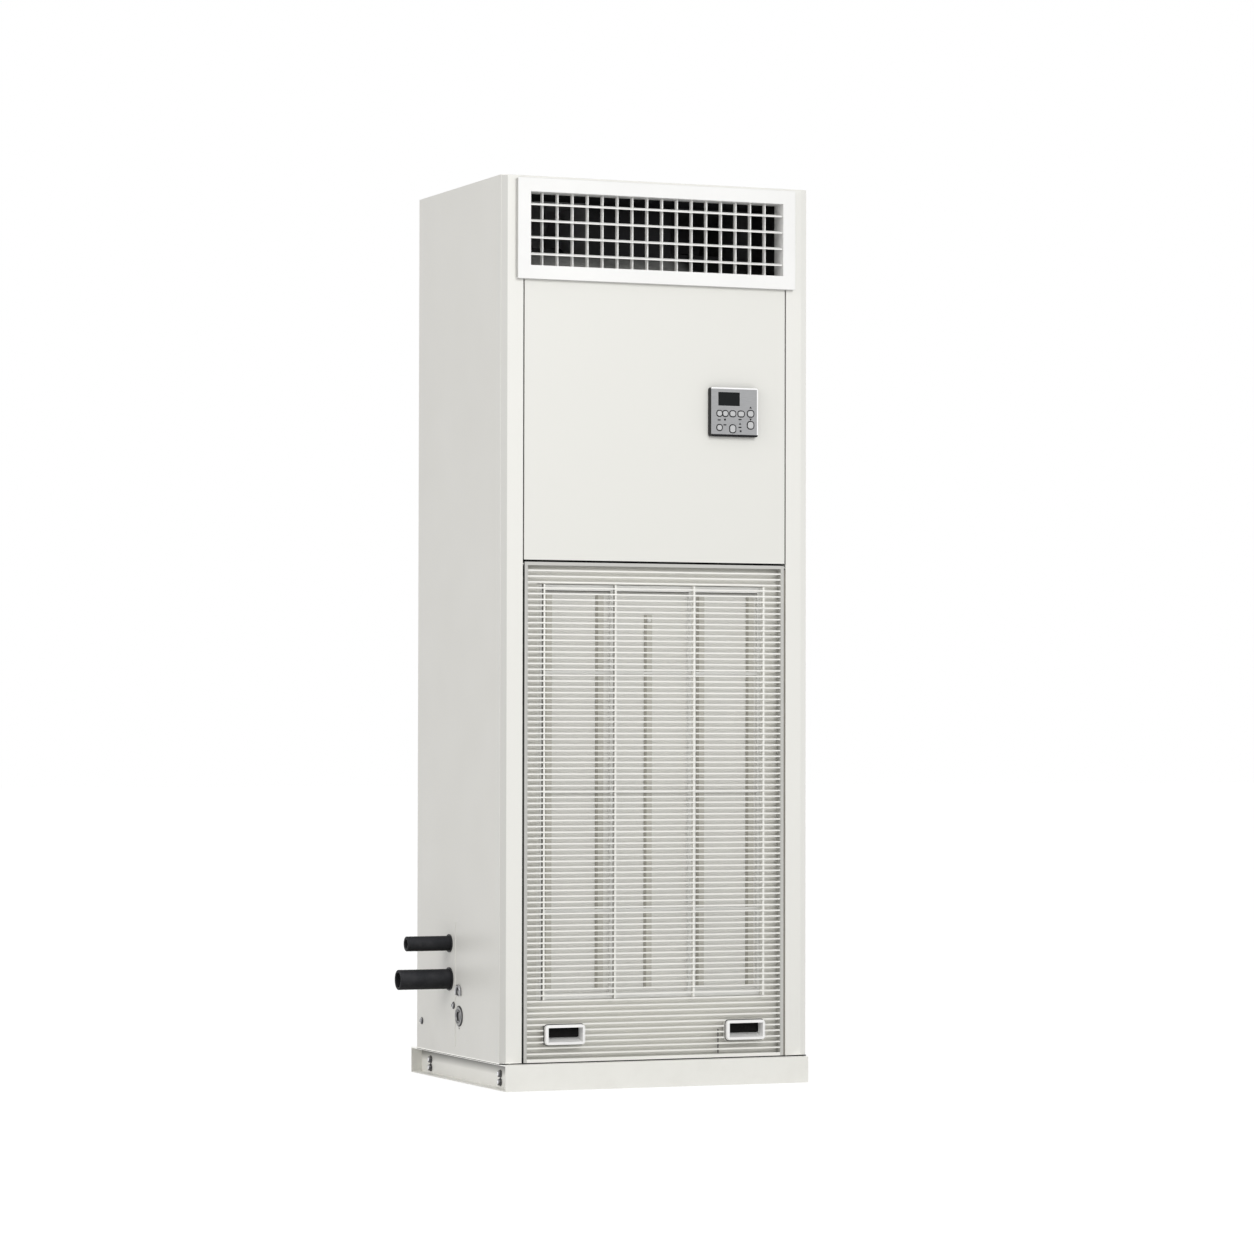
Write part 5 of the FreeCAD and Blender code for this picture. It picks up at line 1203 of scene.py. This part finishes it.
# The saddle's two colours are its painted light and painted shade.
saddle_plate = finish(
    "saddle plate", plating_group, PLATED_RELIEF, metallic=1.0, Colour=SADDLE_LIT, Flank=SADDLE_SHADED,
)
new_piece("cable_saddle", [saddle], saddle_plate, "cabinet")
plug_profile = [(0, PLUG_RADIUS), (PLUG_DEPTH * 0.7, PLUG_RADIUS), (PLUG_DEPTH, PLUG_RADIUS * 0.6)]
plug = turned((wall, cable_y, CABLE_HEIGHT), (-1, 0, 0), plug_profile, False)
new_piece("cable_plug", [plug], plated, "cabinet")
arrow_y, arrow_z = down_mark
arrow_rings = np.stack([
    np.stack((np.full(3, x), drain_middle.y + arrow_y, drain_middle.z - ARROW_BELOW + arrow_z), -1)
    for x in (wall, wall - PRINT)
])
arrow = (arrow_rings, ring_faces(2, 3, False))
new_piece("drain_arrow", [arrow], dark_print, "cabinet")

# Screws: plated pan heads with a cross recess, on black washers, driven through the panels' returns.
SCREW_WASHER_BLACK = (0.020, 0.020, 0.022, 1)
SCREW_HEAD = 0.0045
SCREW_RIM = 0.35
SCREW_RADIUS = 0.0078
SCREW_DOME = 0.0062
SCREW_SEAT = 0.0012
SCREW_SHANK = 0.0019
SCREW_LENGTH = 0.006
CROSS_HALF = 0.0009
CROSS_REACH = 0.0036
CROSS_DEPTH = 0.0018
SCREW_ROWS = 5
SCREW_RINGS = 16
SCREW_AROUND = 48
INNER_RING = 0.02
RETURN = 0.018
TOP_SHEET = 0.0015
PLATE_SCREW_IN = 0.008
PLATE_SCREW_HEIGHT = 0.162
SIDE_SCREW_Y = 0.205
SIDE_SCREW_HEIGHT = 0.117


def screw(place, axis):
    """
    A pan head over a plain shank. Its height is a rim plus the rest of the head times the root of
    (1 - r to the fourth), sunk by the recess where the point is near either arm of a cross.
    """
    along = Vector(axis)
    side = along.orthogonal().normalized()
    other = along.cross(side)
    angle = np.linspace(0, math.tau, SCREW_AROUND, endpoint=False)
    share = np.linspace(1, INNER_RING, SCREW_RINGS)
    across = SCREW_DOME * share[:, None] * np.cos(angle)
    up = SCREW_DOME * share[:, None] * np.sin(angle)
    dome = SCREW_HEAD * (SCREW_RIM + (1 - SCREW_RIM) * np.sqrt(np.clip(1 - share ** 4, 0, 1)))
    in_arm = np.minimum(np.abs(across), np.abs(up)) < CROSS_HALF
    in_reach = np.maximum(np.abs(across), np.abs(up)) < CROSS_REACH
    height = dome[:, None] - CROSS_DEPTH * (in_arm & in_reach)
    shank_depth = np.array((-SCREW_LENGTH, SCREW_SEAT, SCREW_SEAT))[:, None]
    shank_radius = np.array((SCREW_SHANK, SCREW_SHANK, SCREW_DOME))[:, None]
    across = np.concatenate((shank_radius * np.cos(angle), across))
    up = np.concatenate((shank_radius * np.sin(angle), up))
    height = np.concatenate((np.broadcast_to(shank_depth, (3, SCREW_AROUND)), height))
    points = np.array(place) + height[..., None] * np.array(along)
    points = points + across[..., None] * np.array(side) + up[..., None] * np.array(other)
    return points, ring_faces(len(points), SCREW_AROUND, False)


plate_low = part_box("pipe_plate")[0]
screw_places = [((plate_low.x, plate_low.y + PLATE_SCREW_IN, PLATE_SCREW_HEIGHT), (-1, 0, 0))]
for side in (-1, 1):
    for z in np.linspace(rear_low.z + RETURN, rear_high.z + TOP_SHEET - RETURN, SCREW_ROWS):
        screw_places.append(((side * (side_high.x - RETURN / 2), rear_high.y, z), (0, 1, 0)))
    screw_places.append(((side * side_high.x, SIDE_SCREW_Y, SIDE_SCREW_HEIGHT), (side, 0, 0)))
seat_profile = [
    (0, SCREW_SHANK),
    (0, SCREW_RADIUS),
    (SCREW_SEAT * 0.6, SCREW_RADIUS),
    (SCREW_SEAT, SCREW_RADIUS * 0.94),
    (SCREW_SEAT, SCREW_SHANK),
]
screws = [screw(place, axis) for place, axis in screw_places]
seats = [turned(place, axis, seat_profile, True) for place, axis in screw_places]
screw_heads = new_piece("screw_heads", screws, zinc_plate, "cabinet")
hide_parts("panel_screws")
seat_plastic = moulded("screw washer black", SCREW_WASHER_BLACK, roughness=0.5)
new_piece("screw_washers", seats, seat_plastic, "cabinet")

# Inside: galvanised sheet, aluminium fins on copper tubes, a cast motor and its black wheels.
# Each metal has its colour, the grain of its spangle in flakes a metre, and the nodes made of it.
WHEEL_BLACK = (0.05, 0.05, 0.052, 1)
SHEET_NODES = ["floor_panel", "fan_rails", "drain_pan", "control_box"]
for name, colour, grain, wearers in (
    ("shaft steel", (0.50, 0.50, 0.50, 1), 400.0, ["motor_shaft"]),
    ("galvanised sheet", (0.60, 0.61, 0.62, 1), 60.0, SHEET_NODES),
    ("fin aluminium", (0.72, 0.73, 0.74, 1), 200.0, ["coil_fins"]),
    ("drawn copper", (0.70, 0.38, 0.24, 1), 120.0, ["coil_tubes"]),
    ("motor casting", (0.20, 0.20, 0.21, 1), 300.0, ["fan_motor"]),
):
    dress(finish(name, zinc_group, METAL_RELIEF, metallic=0.9, Colour=colour, Grain=grain), *wearers)
dress(moulded("wheel plastic", WHEEL_BLACK, roughness=0.5), "fan_wheels")

# Colours as they are written, and the end.
bpy.context.scene.view_settings.view_transform = "Standard"
